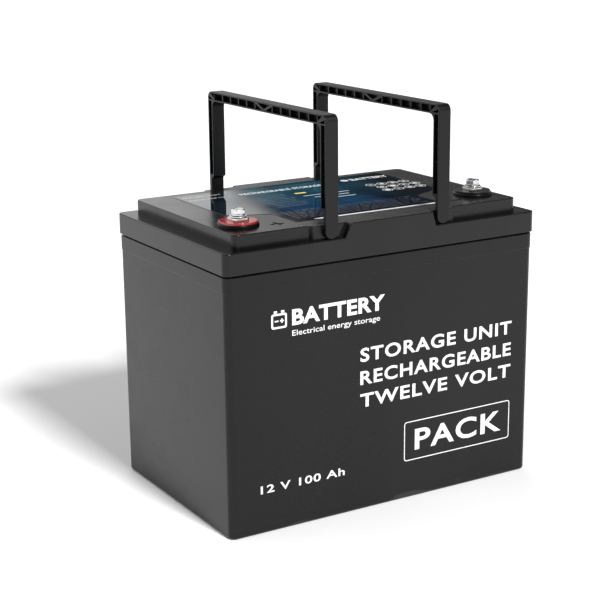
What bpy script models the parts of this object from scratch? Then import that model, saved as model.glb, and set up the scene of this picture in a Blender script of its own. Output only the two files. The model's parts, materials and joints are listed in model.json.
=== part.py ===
"""Deep cycle battery: a moulded container with a stepped cover, two fold-down bail handles
and bolted terminals, around four lithium iron phosphate cells and their management board.

Frame: X along the length, Y along the width, Z up; the origin is the centre of the base.
"""
import math

import bmesh
import bpy
from mathutils import Vector

MM = 0.001
GAP = 0.3 * MM                      # clearance kept between pieces that touch

# Container and cover, outside sizes
LENGTH = 260 * MM
WIDTH = 168 * MM
CASE_TOP = 185.6 * MM
BAND_BOTTOM = 174.9 * MM
SKIRT_BOTTOM = 186.8 * MM
LEDGE_TOP = 202.2 * MM
DECK_TOP = 212.1 * MM
CASE_WALL = 3.6 * MM
FLOOR = 4.0 * MM
CORNER = 5.0 * MM
BAND_INSET = 0.5 * MM
BODY_INSET = 0.9 * MM
FOOT_INSET = 1.2 * MM
TONGUE_TOP = 195.4 * MM
TONGUE_OUTER_INSET = 2.9 * MM
SKIRT_WALL = 2.6 * MM
SKIRT_CAVITY_TOP = 198.2 * MM
DECK_THICKNESS = 3.35 * MM

# Raised deck: end walls, hinge bosses and the centre blocks flush with the skirt
DECK_HALF_X = 118.5 * MM
DECK_HALF_Y = 75.8 * MM
DECK_CORNER = 5.0 * MM
BOSS_HALF_X = 58.8 * MM
BOSS_HALF_Y = 79.5 * MM
BLOCK_LEFT_TOP = -31.8 * MM
BLOCK_LEFT_FOOT = -36.2 * MM
BLOCK_RIGHT_TOP = 37.4 * MM
BLOCK_RIGHT_FOOT = 40.0 * MM
DECK_EDGE = 0.6 * MM
LABEL_THICKNESS = 0.2 * MM

# Handles
PIVOT_X = 46.6 * MM
PIVOT_Z = 207.6 * MM
HANDLE_DEPTH = 10.2 * MM            # along X
HANDLE_OUTER_Y = 83.5 * MM
LEG_THICKNESS = 6.9 * MM
LEG_FOOT_THICKNESS = 3.5 * MM
HANDLE_REACH = 79.4 * MM            # pivot to the top of the bar
BAR_HEIGHT = 7.1 * MM
LEG_STEP = 12.8 * MM                # where the thin foot ends, above the pivot
LEG_STEP_SLOPE = 2.2 * MM
TRUNNION_RADIUS = 3.0 * MM
TRUNNION_END_Y = 74.8 * MM
POCKET_PITCH = 12.2 * MM
POCKET_RIB = 1.4 * MM
RIM = 1.2 * MM
WEB = 2.0 * MM
BAR_POCKETS = 6                     # from the middle to each end of the bar
LEG_POCKETS = 5
CORNER_SLANT = 3.2 * MM             # foot of the corner's diagonal rib, along and down
CORNER_DROP = 2.2 * MM

# Terminals
TERMINAL_X = 99.5 * MM
TERMINAL_Y = -47.7 * MM
BASE_DISC_RADIUS = 14.4 * MM
MARKER_RADIUS = 13.3 * MM
HUB_RADIUS = 9.0 * MM
SHANK_RADIUS = 6.0 * MM
BORE_RADIUS = 3.2 * MM
BOLT_RADIUS = 2.85 * MM
BOLT_ACROSS_FLATS = 9.0 * MM
POST_BLOCK_HALF = 6.2 * MM
WASHER_RADIUS = 6.05 * MM
SPRING_THICKNESS = 0.9 * MM
POST_FOOT_Z = DECK_TOP - 15.25 * MM
BOLT_FOOT_Z = DECK_TOP - 5.75 * MM
ROUND_STEPS = 24

# Cell pack
CELL_SIZE = Vector((52.0, 148.0, 118.5)) * MM
CELL_FLOOR_Z = 6.6 * MM
SPACER = 1.2 * MM
CELL_PITCH = CELL_SIZE.x + SPACER + 2 * GAP
CELL_TOP = CELL_FLOOR_Z + CELL_SIZE.z
PAD_Y = 52.0 * MM
PAD_HEIGHT = 2.5 * MM
BUSBAR_Z = CELL_TOP + PAD_HEIGHT + GAP
BUSBAR_THICKNESS = 2.5 * MM
BUSBAR_HALF_WIDTH = 10 * MM
END_PLATE = 3.0 * MM
PACK_END_X = 1.5 * CELL_PITCH + CELL_SIZE.x / 2 + GAP

# Management board
BOARD_Z = 150.0 * MM
BOARD_THICKNESS = 1.6 * MM
BOARD_HALF_X = 75.0 * MM
BOARD_HALF_Y = 48.0 * MM
CABLE_DIAMETER = 8.0 * MM
TRANSISTORS = 7
TRANSISTOR_PITCH = 14 * MM
FIN_GROOVES = 9
FIN_PITCH = 8 * MM
LUG_X = 58 * MM
LUG_Y = 34 * MM
LUG_HEIGHT = 7 * MM
SENSE_X = -73 * MM


def clear_scene():
    for obj in list(bpy.data.objects):
        bpy.data.objects.remove(obj, do_unlink=True)


def material(name, colour, roughness, metallic=0.0):
    mat = bpy.data.materials.new(name)
    mat.use_nodes = True
    shader = mat.node_tree.nodes["Principled BSDF"]
    shader.inputs["Base Color"].default_value = (*colour, 1.0)
    shader.inputs["Roughness"].default_value = roughness
    shader.inputs["Metallic"].default_value = metallic
    mat.diffuse_color = (*colour, 1.0)
    return mat


def add_object(name, bm, mat=None, location=(0, 0, 0), parent=None, smooth=False):
    bmesh.ops.recalc_face_normals(bm, faces=bm.faces)
    mesh = bpy.data.meshes.new(name)
    bm.to_mesh(mesh)
    bm.free()
    if mat:
        mesh.materials.append(mat)
    if smooth:
        mesh.shade_smooth()
        mesh.set_sharp_from_angle(angle=math.radians(35))
    obj = bpy.data.objects.new(name, mesh)
    obj.location = location
    obj.parent = parent
    bpy.context.scene.collection.objects.link(obj)
    return obj


# ---------------------------------------------------------------------------- outlines
def polar_ring(radius_at, z, steps=ROUND_STEPS):
    """A loop of points round Z whose radius is a function of the angle."""
    ring = []
    for step in range(steps):
        angle = math.tau * step / steps
        radius = radius_at(angle)
        ring.append(Vector((radius * math.cos(angle), radius * math.sin(angle), z)))
    return ring


def circle(radius, z, steps=ROUND_STEPS):
    return polar_ring(lambda angle: radius, z, steps)


def hexagon(across_flats, z):
    def radius_at(angle):
        return across_flats / 2 / math.cos((angle % (math.pi / 3)) - math.pi / 6)
    return polar_ring(radius_at, z)


def cut_square(half, chamfer, z):
    def radius_at(angle):
        run, rise = abs(math.cos(angle)), abs(math.sin(angle))
        return min(half / max(run, rise), (2 * half - chamfer) / (run + rise))
    return polar_ring(radius_at, z)


def fillet_outline(corners, z, steps=3):
    """Round each (x, y, radius) corner of a closed polygon with an arc; radius 0 keeps it sharp."""
    points = []
    count = len(corners)
    for index, (x, y, radius) in enumerate(corners):
        corner = Vector((x, y))
        if radius == 0:
            points.append(Vector((x, y, z)))
            continue
        back = (Vector(corners[index - 1][:2]) - corner).normalized()
        ahead = (Vector(corners[(index + 1) % count][:2]) - corner).normalized()
        half_angle = math.acos(max(-1.0, min(1.0, back.dot(ahead)))) / 2
        centre = corner + (back + ahead).normalized() * radius / math.sin(half_angle)
        start = corner + back * radius / math.tan(half_angle) - centre
        end = corner + ahead * radius / math.tan(half_angle) - centre
        sweep = start.angle_signed(end)
        for step in range(steps + 1):
            turn = -sweep * step / steps
            spoke = Vector((start.x * math.cos(turn) - start.y * math.sin(turn),
                            start.x * math.sin(turn) + start.y * math.cos(turn)))
            points.append(Vector((*(centre + spoke), z)))
    return points


def rounded_rect(half_x, half_y, radius, z, steps=4):
    corners = ((-half_x, -half_y, radius), (half_x, -half_y, radius),
               (half_x, half_y, radius), (-half_x, half_y, radius))
    return fillet_outline(corners, z, steps)


# ------------------------------------------------------------------------------ solids
def loft(rings, closed=False):
    """Skin loops of equal length, capping the ends or joining the last loop to the first."""
    bm = bmesh.new()
    loops = [[bm.verts.new(point) for point in ring] for ring in rings]
    pairs = list(zip(loops, loops[1:]))
    if closed:
        pairs.append((loops[-1], loops[0]))
    for lower, upper in pairs:
        for index, vertex in enumerate(lower):
            following = (index + 1) % len(lower)
            bm.faces.new((vertex, lower[following], upper[following], upper[index]))
    if not closed:
        bm.faces.new(tuple(reversed(loops[0])))
        bm.faces.new(loops[-1])
    return bm


def turned(profile, bored=False, steps=ROUND_STEPS):
    """Revolve (radius, z) points about Z; a bored profile runs round its whole section."""
    return loft([circle(radius, z, steps) for radius, z in profile], closed=bored)


def add_box(bm, low, high):
    """Add one more separate box to a mesh."""
    corners = [bm.verts.new((x, y, z)) for x in (low[0], high[0])
               for y in (low[1], high[1]) for z in (low[2], high[2])]
    for face in ((0, 1, 3, 2), (4, 6, 7, 5), (0, 4, 5, 1), (2, 3, 7, 6), (0, 2, 6, 4), (1, 5, 7, 3)):
        bm.faces.new([corners[index] for index in face])


def add_prism(bm, outline, low_x, high_x):
    """Add a prism along X with a (y, z) outline."""
    near = [bm.verts.new((low_x, y, z)) for y, z in outline]
    far = [bm.verts.new((high_x, y, z)) for y, z in outline]
    for index in range(len(outline)):
        following = (index + 1) % len(outline)
        bm.faces.new((near[index], near[following], far[following], far[index]))
    bm.faces.new(tuple(reversed(near)))
    bm.faces.new(far)


def box_solid(low, high):
    bm = bmesh.new()
    add_box(bm, low, high)
    return bm


def modify(target, operation, tool):
    """Cut the target with a tool object, or weld the tool onto it."""
    tool.hide_render = True
    tool.display_type = 'WIRE'
    boolean = target.modifiers.new(tool.name, 'BOOLEAN')
    boolean.operation = operation
    boolean.solver = 'EXACT'
    boolean.object = tool


def cylinder_y(bm, centre, radius, low_y, high_y, steps=20):
    """Add a cylinder along Y."""
    ends = []
    for y in (low_y, high_y):
        ends.append([bm.verts.new((centre[0] + radius * math.cos(math.tau * step / steps), y,
                                   centre[1] + radius * math.sin(math.tau * step / steps)))
                     for step in range(steps)])
    for index in range(steps):
        following = (index + 1) % steps
        bm.faces.new((ends[0][index], ends[0][following], ends[1][following], ends[1][index]))
    bm.faces.new(ends[0])
    bm.faces.new(tuple(reversed(ends[1])))


def smooth_route(route, per_span=6):
    """Points along a Catmull-Rom curve through the route."""
    points = [Vector(point) for point in route]
    padded = [points[0] * 2 - points[1]] + points + [points[-1] * 2 - points[-2]]
    result = []
    for before, start, end, after in zip(padded, padded[1:], padded[2:], padded[3:]):
        for step in range(per_span):
            t = step / per_span
            result.append(0.5 * (2 * start + (end - before) * t
                                 + (2 * before - 5 * start + 4 * end - after) * t ** 2
                                 + (3 * start - before - 3 * end + after) * t ** 3))
    result.append(points[-1])
    return result


def cable(name, route, diameter, mat, per_span=6):
    curve = bpy.data.curves.new(name, 'CURVE')
    curve.dimensions = '3D'
    curve.bevel_depth = diameter / 2
    curve.bevel_resolution = 2
    curve.use_fill_caps = True
    points = smooth_route(route, per_span)
    spline = curve.splines.new('POLY')
    spline.points.add(len(points) - 1)
    for control, point in zip(spline.points, points):
        control.co = (*point, 1.0)
    curve.materials.append(mat)
    obj = bpy.data.objects.new(name, curve)
    bpy.context.scene.collection.objects.link(obj)
    return obj


# ----------------------------------------------------------------------- case and cover
def build_case(mat):
    half_x, half_y = LENGTH / 2, WIDTH / 2

    def ring(inset, z):
        return rounded_rect(half_x - inset, half_y - inset, max(CORNER + 1.2 * MM - inset, 2 * MM), z)

    inner = BODY_INSET + CASE_WALL
    rings = [ring(FOOT_INSET + 2.2 * MM, 0),
             ring(FOOT_INSET + 0.7 * MM, 0.7 * MM),
             ring(FOOT_INSET, 2.4 * MM),
             ring(BODY_INSET, BAND_BOTTOM - 0.4 * MM),
             ring(BAND_INSET, BAND_BOTTOM),
             ring(BAND_INSET, CASE_TOP - 0.4 * MM),
             ring(BAND_INSET + 0.4 * MM, CASE_TOP),
             ring(TONGUE_OUTER_INSET, CASE_TOP),
             ring(TONGUE_OUTER_INSET, TONGUE_TOP),
             ring(inner, TONGUE_TOP),
             ring(inner + 0.3 * MM, FLOOR + 1.5 * MM),
             ring(inner + 1.8 * MM, FLOOR)]
    return add_object("case", loft(rings), mat, smooth=True)


def deck_outline(inset, left, right, z):
    """Plan of the raised deck with its hinge bosses and flush centre blocks."""
    outer = max(0.8 * MM - inset, 0.3 * MM)
    inner = 0.8 * MM + inset
    deck_x, deck_y = DECK_HALF_X - inset, DECK_HALF_Y - inset
    boss_x, boss_y = BOSS_HALF_X - inset, BOSS_HALF_Y - inset
    block_y = WIDTH / 2 - inset
    front = [(-deck_x, -deck_y, DECK_CORNER - inset), (-boss_x, -deck_y, inner),
             (-boss_x, -boss_y, outer), (left + inset, -boss_y, inner),
             (left + inset, -block_y, outer), (right - inset, -block_y, outer),
             (right - inset, -boss_y, inner), (boss_x, -boss_y, outer),
             (boss_x, -deck_y, inner), (deck_x, -deck_y, DECK_CORNER - inset)]
    back = [(x, -y, radius) for x, y, radius in reversed(front)]
    return fillet_outline(front + back, z)


def build_cover(mat):
    half_x, half_y = LENGTH / 2, WIDTH / 2
    skirt = [rounded_rect(half_x - 0.5 * MM, half_y - 0.5 * MM, CORNER - 0.5 * MM, SKIRT_BOTTOM),
             rounded_rect(half_x, half_y, CORNER, SKIRT_BOTTOM + 0.5 * MM),
             rounded_rect(half_x, half_y, CORNER, LEDGE_TOP - 0.8 * MM),
             rounded_rect(half_x - 0.8 * MM, half_y - 0.8 * MM, CORNER - 0.8 * MM, LEDGE_TOP)]
    cover = add_object("cover", loft(skirt), mat)

    deck = [deck_outline(0, BLOCK_LEFT_FOOT, BLOCK_RIGHT_FOOT, SKIRT_CAVITY_TOP + 1 * MM),
            deck_outline(0, BLOCK_LEFT_FOOT, BLOCK_RIGHT_FOOT, LEDGE_TOP + 0.1 * MM),
            deck_outline(0, BLOCK_LEFT_TOP, BLOCK_RIGHT_TOP, DECK_TOP - DECK_EDGE),
            deck_outline(DECK_EDGE, BLOCK_LEFT_TOP, BLOCK_RIGHT_TOP, DECK_TOP)]
    modify(cover, 'UNION', add_object("deck_tool", loft(deck)))

    cavity_x, cavity_y = half_x - SKIRT_WALL, half_y - SKIRT_WALL
    under_deck = DECK_TOP - DECK_THICKNESS
    upper_x, upper_y = DECK_HALF_X - 3.6 * MM, DECK_HALF_Y - 4.9 * MM
    cavity = [rounded_rect(cavity_x, cavity_y, 3.6 * MM, SKIRT_BOTTOM - 5 * MM),
              rounded_rect(cavity_x, cavity_y, 3.6 * MM, SKIRT_CAVITY_TOP),
              rounded_rect(upper_x, upper_y, 3 * MM, SKIRT_CAVITY_TOP),
              rounded_rect(upper_x, upper_y, 3 * MM, under_deck)]
    modify(cover, 'DIFFERENCE', add_object("cavity_tool", loft(cavity)))

    cores = bmesh.new()
    slots = bmesh.new()
    holes = bmesh.new()
    for side in (-1, 1):
        core_y = sorted((side * 73.2 * MM, side * 81.0 * MM))
        add_box(cores, (BLOCK_LEFT_TOP + 3 * MM, core_y[0], SKIRT_BOTTOM),
                (BLOCK_RIGHT_TOP - 3 * MM, core_y[1], under_deck))
        slot_y = sorted((side * 72.6 * MM, side * 73.9 * MM))
        hole_y = sorted((side * 73.3 * MM, side * (BOSS_HALF_Y + 2 * MM)))
        for x in (-PIVOT_X, PIVOT_X):
            add_box(slots, (x - 5.8 * MM, slot_y[0], LEDGE_TOP + MM),
                    (x + 5.8 * MM, slot_y[1], DECK_TOP + MM))
            cylinder_y(holes, (x, PIVOT_Z), TRUNNION_RADIUS + 0.4 * MM, *hole_y)
    modify(cover, 'DIFFERENCE', add_object("core_tool", cores))
    modify(cover, 'DIFFERENCE', add_object("slot_tool", slots))
    modify(cover, 'DIFFERENCE', add_object("hinge_hole_tool", holes))

    recess = DECK_TOP - 0.85 * MM
    for side in (-1, 1):
        seat = turned([(HUB_RADIUS + GAP, under_deck - 2 * MM), (HUB_RADIUS + GAP, recess),
                       (BASE_DISC_RADIUS + GAP, recess), (BASE_DISC_RADIUS + GAP, DECK_TOP + 2 * MM)])
        modify(cover, 'DIFFERENCE', add_object("terminal_seat_tool", seat,
                                               location=(side * TERMINAL_X, TERMINAL_Y, 0)))
    modify(cover, 'DIFFERENCE', add_object("polarity_tool", polarity_marks()))
    return cover


def polarity_marks():
    """A plus beside the positive terminal and a minus beside the negative one."""
    reach, stroke = 5.5 * MM, 1.2 * MM
    x, y = 75.4 * MM, -58.7 * MM
    low, high = DECK_TOP - 0.5 * MM, DECK_TOP + 1 * MM
    plus = [(-reach, -stroke), (-stroke, -stroke), (-stroke, -reach), (stroke, -reach),
            (stroke, -stroke), (reach, -stroke), (reach, stroke), (stroke, stroke),
            (stroke, reach), (-stroke, reach), (-stroke, stroke), (-reach, stroke)]
    bm = loft([[Vector((px - x, py + y, z)) for px, py in plus] for z in (low, high)])
    add_box(bm, (x - reach, y - stroke, low), (x + reach, y + stroke, high))
    return bm


def build_gasket(mat):
    def ring(inset, z):
        return rounded_rect(LENGTH / 2 - inset, WIDTH / 2 - inset, 3.6 * MM, z, steps=3)
    low, high = TONGUE_TOP + GAP, SKIRT_CAVITY_TOP - GAP
    outer, inner = TONGUE_OUTER_INSET, BODY_INSET + CASE_WALL
    rings = [ring(outer, low), ring(outer, high), ring(inner, high), ring(inner, low)]
    return add_object("cover_gasket", loft(rings, closed=True), mat)


def build_label(mat):
    low = DECK_TOP + GAP
    wide_x, narrow_x = 92 * MM, 61.7 * MM
    front_y, shoulder_y, back_y = -61.2 * MM, -28.6 * MM, 67 * MM
    outline = [(-narrow_x, front_y, 2 * MM), (narrow_x, front_y, 2 * MM),
               (narrow_x, shoulder_y, 4 * MM), (wide_x, shoulder_y + 14 * MM, 4 * MM),
               (wide_x, back_y, 4 * MM), (-wide_x, back_y, 4 * MM),
               (-wide_x, shoulder_y + 14 * MM, 4 * MM), (-narrow_x, shoulder_y, 4 * MM)]
    rings = [fillet_outline(outline, z) for z in (low, low + LABEL_THICKNESS)]
    return add_object("top_label", loft(rings), mat)


# ------------------------------------------------------------------------------ handles
def pocket_outlines():
    """The (y, z) outlines of the weight-saving pockets on one face of a handle."""
    low_z = HANDLE_REACH - BAR_HEIGHT + RIM
    high_z = HANDLE_REACH - RIM
    half_rib = POCKET_RIB / 2
    slant = 2 * POCKET_RIB
    middle = POCKET_PITCH - half_rib
    corner_in = BAR_POCKETS * POCKET_PITCH + half_rib
    corner_out = HANDLE_OUTER_Y - RIM
    leg_in = HANDLE_OUTER_Y - LEG_THICKNESS + RIM
    leg_low = LEG_STEP + LEG_STEP_SLOPE + RIM
    leg_pitch = (low_z - leg_low) / LEG_POCKETS
    outlines = [[(slant - middle, high_z), (middle - slant, high_z), (0, low_z + POCKET_RIB)]]
    for side in (-1, 1):
        for index in range(1, BAR_POCKETS):
            near = side * (index * POCKET_PITCH + half_rib)
            far = side * ((index + 1) * POCKET_PITCH - half_rib)
            outlines.append([(near, low_z), (far, low_z), (far, high_z), (near, high_z)])
        outlines.append([(side * middle, low_z), (side * middle, high_z - POCKET_RIB),
                         (side * slant, low_z)])
        outlines.append([(side * corner_in, high_z), (side * corner_in, low_z + POCKET_RIB),
                         (side * (corner_out - CORNER_SLANT), high_z)])
        outlines.append([(side * (corner_in + POCKET_RIB), low_z), (side * corner_out, low_z),
                         (side * corner_out, high_z - CORNER_DROP)])
        for row in range(LEG_POCKETS):
            start = leg_low + row * leg_pitch
            end = start + leg_pitch - POCKET_RIB
            outlines.append([(side * leg_in, start), (side * corner_out, start),
                             (side * corner_out, end), (side * leg_in, end)])
    return outlines


def handle_mesh():
    """A bail: bar, legs and thin feet with round tips, about its pivot axis."""
    outer_y, inner_y = HANDLE_OUTER_Y, HANDLE_OUTER_Y - LEG_THICKNESS
    foot_y = HANDLE_OUTER_Y - LEG_FOOT_THICKNESS
    tip = -HANDLE_DEPTH / 2
    small = 0.3 * MM
    outside = [(outer_y, tip, 0), (outer_y, HANDLE_REACH, 4.0 * MM)]
    inside = [(inner_y, HANDLE_REACH - BAR_HEIGHT, 5.0 * MM), (inner_y, LEG_STEP + LEG_STEP_SLOPE, small),
              (foot_y, LEG_STEP, small), (foot_y, tip, 0)]
    corners = outside + [(-y, z, radius) for y, z, radius in reversed(outside)]
    corners += [(-y, z, radius) for y, z, radius in reversed(inside)] + inside
    outline = [(point.x, point.y) for point in fillet_outline(corners, 0)]
    bm = bmesh.new()
    add_prism(bm, outline, -HANDLE_DEPTH / 2, HANDLE_DEPTH / 2)
    bmesh.ops.recalc_face_normals(bm, faces=bm.faces)
    tips = [edge for edge in bm.edges if is_tip_edge(edge, tip)]
    bmesh.ops.bevel(bm, geom=tips, offset=HANDLE_DEPTH / 2 - 0.1 * MM, segments=6, profile=0.5,
                    affect='EDGES')
    return bm


def is_tip_edge(edge, tip):
    """True for the short edges along Y at the very bottom corners of a leg."""
    first, second = (vertex.co for vertex in edge.verts)
    level = abs(first.z - tip) < 1e-6 and abs(second.z - tip) < 1e-6
    return level and abs(first.x - second.x) < 1e-6


def build_handle(name, x, mat):
    handle = add_object(name, handle_mesh(), mat, location=(x, 0, PIVOT_Z))
    trunnions = bmesh.new()
    pockets = bmesh.new()
    for side in (-1, 1):
        trunnion_y = sorted((side * TRUNNION_END_Y, side * (HANDLE_OUTER_Y - LEG_FOOT_THICKNESS / 2)))
        cylinder_y(trunnions, (0, 0), TRUNNION_RADIUS, *trunnion_y)
        face_x = sorted((side * WEB / 2, side * (HANDLE_DEPTH / 2 + 1 * MM)))
        for outline in pocket_outlines():
            add_prism(pockets, outline, *face_x)
    modify(handle, 'UNION', add_object(name + "_trunnion_tool", trunnions, location=(x, 0, PIVOT_Z)))
    modify(handle, 'DIFFERENCE', add_object(name + "_pocket_tool", pockets, location=(x, 0, PIVOT_Z)))


# ---------------------------------------------------------------------------- terminals
def build_terminal(polarity, x, mats):
    place = (x, TERMINAL_Y, 0)
    seat = DECK_TOP - 0.85 * MM + GAP
    rim = DECK_TOP + 2.25 * MM
    bore = SHANK_RADIUS + GAP
    hub_foot = DECK_TOP - 8.25 * MM
    base = [(bore, hub_foot), (HUB_RADIUS, hub_foot), (HUB_RADIUS, seat), (BASE_DISC_RADIUS, seat),
            (BASE_DISC_RADIUS, rim - 0.6 * MM), (BASE_DISC_RADIUS - 0.6 * MM, rim), (bore, rim)]
    add_object(polarity + "_terminal_base", turned(base, bored=True), mats["base"], place, smooth=True)

    nut_low, nut_high = DECK_TOP - 7.15 * MM, DECK_TOP - DECK_THICKNESS - GAP
    nut = [(HUB_RADIUS + GAP, nut_low), (13 * MM, nut_low), (13 * MM, nut_high),
           (HUB_RADIUS + GAP, nut_high)]
    add_object(polarity + "_terminal_lock_nut", turned(nut, bored=True), mats["nut"], place)

    disc_low, disc_high = rim + GAP, rim + GAP + 1.1 * MM
    disc = [(bore, disc_low), (MARKER_RADIUS, disc_low), (MARKER_RADIUS, disc_high - 0.3 * MM),
            (MARKER_RADIUS - 0.3 * MM, disc_high), (bore, disc_high)]
    add_object(polarity + "_terminal_marker", turned(disc, bored=True), mats[polarity], place, smooth=True)

    block_low = disc_high + GAP
    block_high = block_low + 1.9 * MM
    post = [circle(SHANK_RADIUS - 0.5 * MM, POST_FOOT_Z), circle(SHANK_RADIUS, POST_FOOT_Z + 0.5 * MM),
            circle(SHANK_RADIUS, block_low), cut_square(POST_BLOCK_HALF, 2.2 * MM, block_low),
            cut_square(POST_BLOCK_HALF, 2.2 * MM, block_high - 0.3 * MM),
            cut_square(POST_BLOCK_HALF - 0.3 * MM, 2.2 * MM, block_high),
            circle(BORE_RADIUS, block_high), circle(BORE_RADIUS, BOLT_FOOT_Z - 1.5 * MM)]
    add_object(polarity + "_terminal_post", loft(post), mats["post"], place)

    washer_low = block_high + GAP
    washer_high = washer_low + 0.8 * MM
    washer_bore = BORE_RADIUS + 0.1 * MM
    washer = [(washer_bore, washer_low), (WASHER_RADIUS, washer_low), (WASHER_RADIUS, washer_high),
              (washer_bore, washer_high)]
    add_object(polarity + "_flat_washer", turned(washer, bored=True), mats["steel"], place, smooth=True)

    spring_low = washer_high + GAP
    add_object(polarity + "_spring_washer", split_ring(spring_low), mats["steel"], place)

    head_low = spring_low + SPRING_THICKNESS + GAP
    head_high = head_low + 3.0 * MM
    bolt = [circle(BOLT_RADIUS - 0.5 * MM, BOLT_FOOT_Z), circle(BOLT_RADIUS, BOLT_FOOT_Z + 0.5 * MM),
            circle(BOLT_RADIUS, head_low), hexagon(BOLT_ACROSS_FLATS, head_low),
            hexagon(BOLT_ACROSS_FLATS, head_high - 0.5 * MM), circle(4.2 * MM, head_high)]
    add_object(polarity + "_terminal_bolt", loft(bolt), mats["steel"], place)


def split_ring(low, steps=22):
    """A spring washer: a slightly helical ring with a gap."""
    inner, outer = BORE_RADIUS + 0.1 * MM, 4.9 * MM
    rise = 0.2 * MM
    sections = []
    for step in range(steps + 1):
        share = step / steps
        angle = math.radians(12 + 336 * share)
        level = low + rise * (share - 0.5)
        spoke = Vector((math.cos(angle), math.sin(angle), 0))
        sections.append([spoke * inner + Vector((0, 0, level)), spoke * outer + Vector((0, 0, level)),
                         spoke * outer + Vector((0, 0, level + SPRING_THICKNESS)),
                         spoke * inner + Vector((0, 0, level + SPRING_THICKNESS))])
    return loft(sections)


# ---------------------------------------------------------------------------- cell pack
def build_cell(name, x, mats):
    low = [rounded_rect(CELL_SIZE.x / 2 - inset, CELL_SIZE.y / 2 - inset, 2 * MM - inset, z, steps=2)
           for inset, z in ((0.8 * MM, CELL_FLOOR_Z), (0, CELL_FLOOR_Z + 0.8 * MM),
                            (0, CELL_TOP - 0.6 * MM), (0.6 * MM, CELL_TOP))]
    cell = add_object(name, loft(low), mats["cell"], (x, 0, 0))
    for index, y in enumerate((-PAD_Y, PAD_Y)):
        pad = turned([(9 * MM, CELL_TOP - 1 * MM), (9 * MM, CELL_TOP + PAD_HEIGHT)], steps=16)
        modify(cell, 'UNION', add_object(f"{name}_pad_{index}_tool", pad, location=(x, y, 0)))
    return cell


def build_pack(mats):
    centres = [(index - 1.5) * CELL_PITCH for index in range(4)]
    for index, x in enumerate(centres):
        build_cell(f"cell_{index + 1}", x, mats)
    half_y = CELL_SIZE.y / 2
    for index in range(3):
        x = (index - 1) * CELL_PITCH
        add_object(f"cell_spacer_{index + 1}",
                   box_solid((-SPACER / 2, 1 * MM - half_y, CELL_FLOOR_Z + GAP),
                             (SPACER / 2, half_y - 1 * MM, CELL_TOP - 4 * MM)), mats["board"], (x, 0, 0))
        side = 1 if index % 2 == 0 else -1
        add_object(f"series_busbar_{index + 1}", busbar(CELL_PITCH / 2 + 9 * MM), mats["copper"],
                   (x, side * PAD_Y, 0))
    for name, side in (("left", -1), ("right", 1)):
        start, end = sorted((side * PACK_END_X, side * (PACK_END_X + END_PLATE)))
        plate = box_solid((start, 2 * MM - half_y, CELL_FLOOR_Z), (end, half_y - 2 * MM, CELL_TOP - 2 * MM))
        add_object(name + "_end_plate", plate, mats["aluminium"])
        start, end = sorted((side * (PACK_END_X + END_PLATE + 1.6 * MM), side * 124.4 * MM))
        add_object(name + "_foam_pad", box_solid((start, -66 * MM, CELL_FLOOR_Z),
                                                 (end, 66 * MM, CELL_TOP - 8 * MM)), mats["foam"])
    for name, low in (("lower", 28 * MM), ("upper", 88 * MM)):
        add_object(name + "_pack_strap", strap(low, low + 14 * MM), mats["strap"])
    pad = [rounded_rect(118 * MM, 75 * MM, 4 * MM, z, steps=2) for z in (FLOOR + GAP, CELL_FLOOR_Z - GAP)]
    add_object("base_pad", loft(pad), mats["foam"])
    add_object("pack_positive_tab", busbar(11 * MM), mats["copper"], (centres[0], -PAD_Y, 0))
    add_object("pack_negative_tab", busbar(11 * MM), mats["copper"], (centres[-1], -PAD_Y, 0))
    return centres


def busbar(half_x):
    levels = (BUSBAR_Z, BUSBAR_Z + BUSBAR_THICKNESS)
    return loft([rounded_rect(half_x, BUSBAR_HALF_WIDTH, 4 * MM, z, steps=3) for z in levels])


def strap(low, high):
    """A band round the four cells and their end plates."""
    inner_x = PACK_END_X + END_PLATE + GAP
    inner_y = CELL_SIZE.y / 2 + GAP
    thickness = 0.8 * MM

    def ring(grow, z):
        return rounded_rect(inner_x + grow, inner_y + grow, 1.5 * MM + grow, z, steps=2)
    return loft([ring(0, low), ring(thickness, low), ring(thickness, high), ring(0, high)], closed=True)


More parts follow.
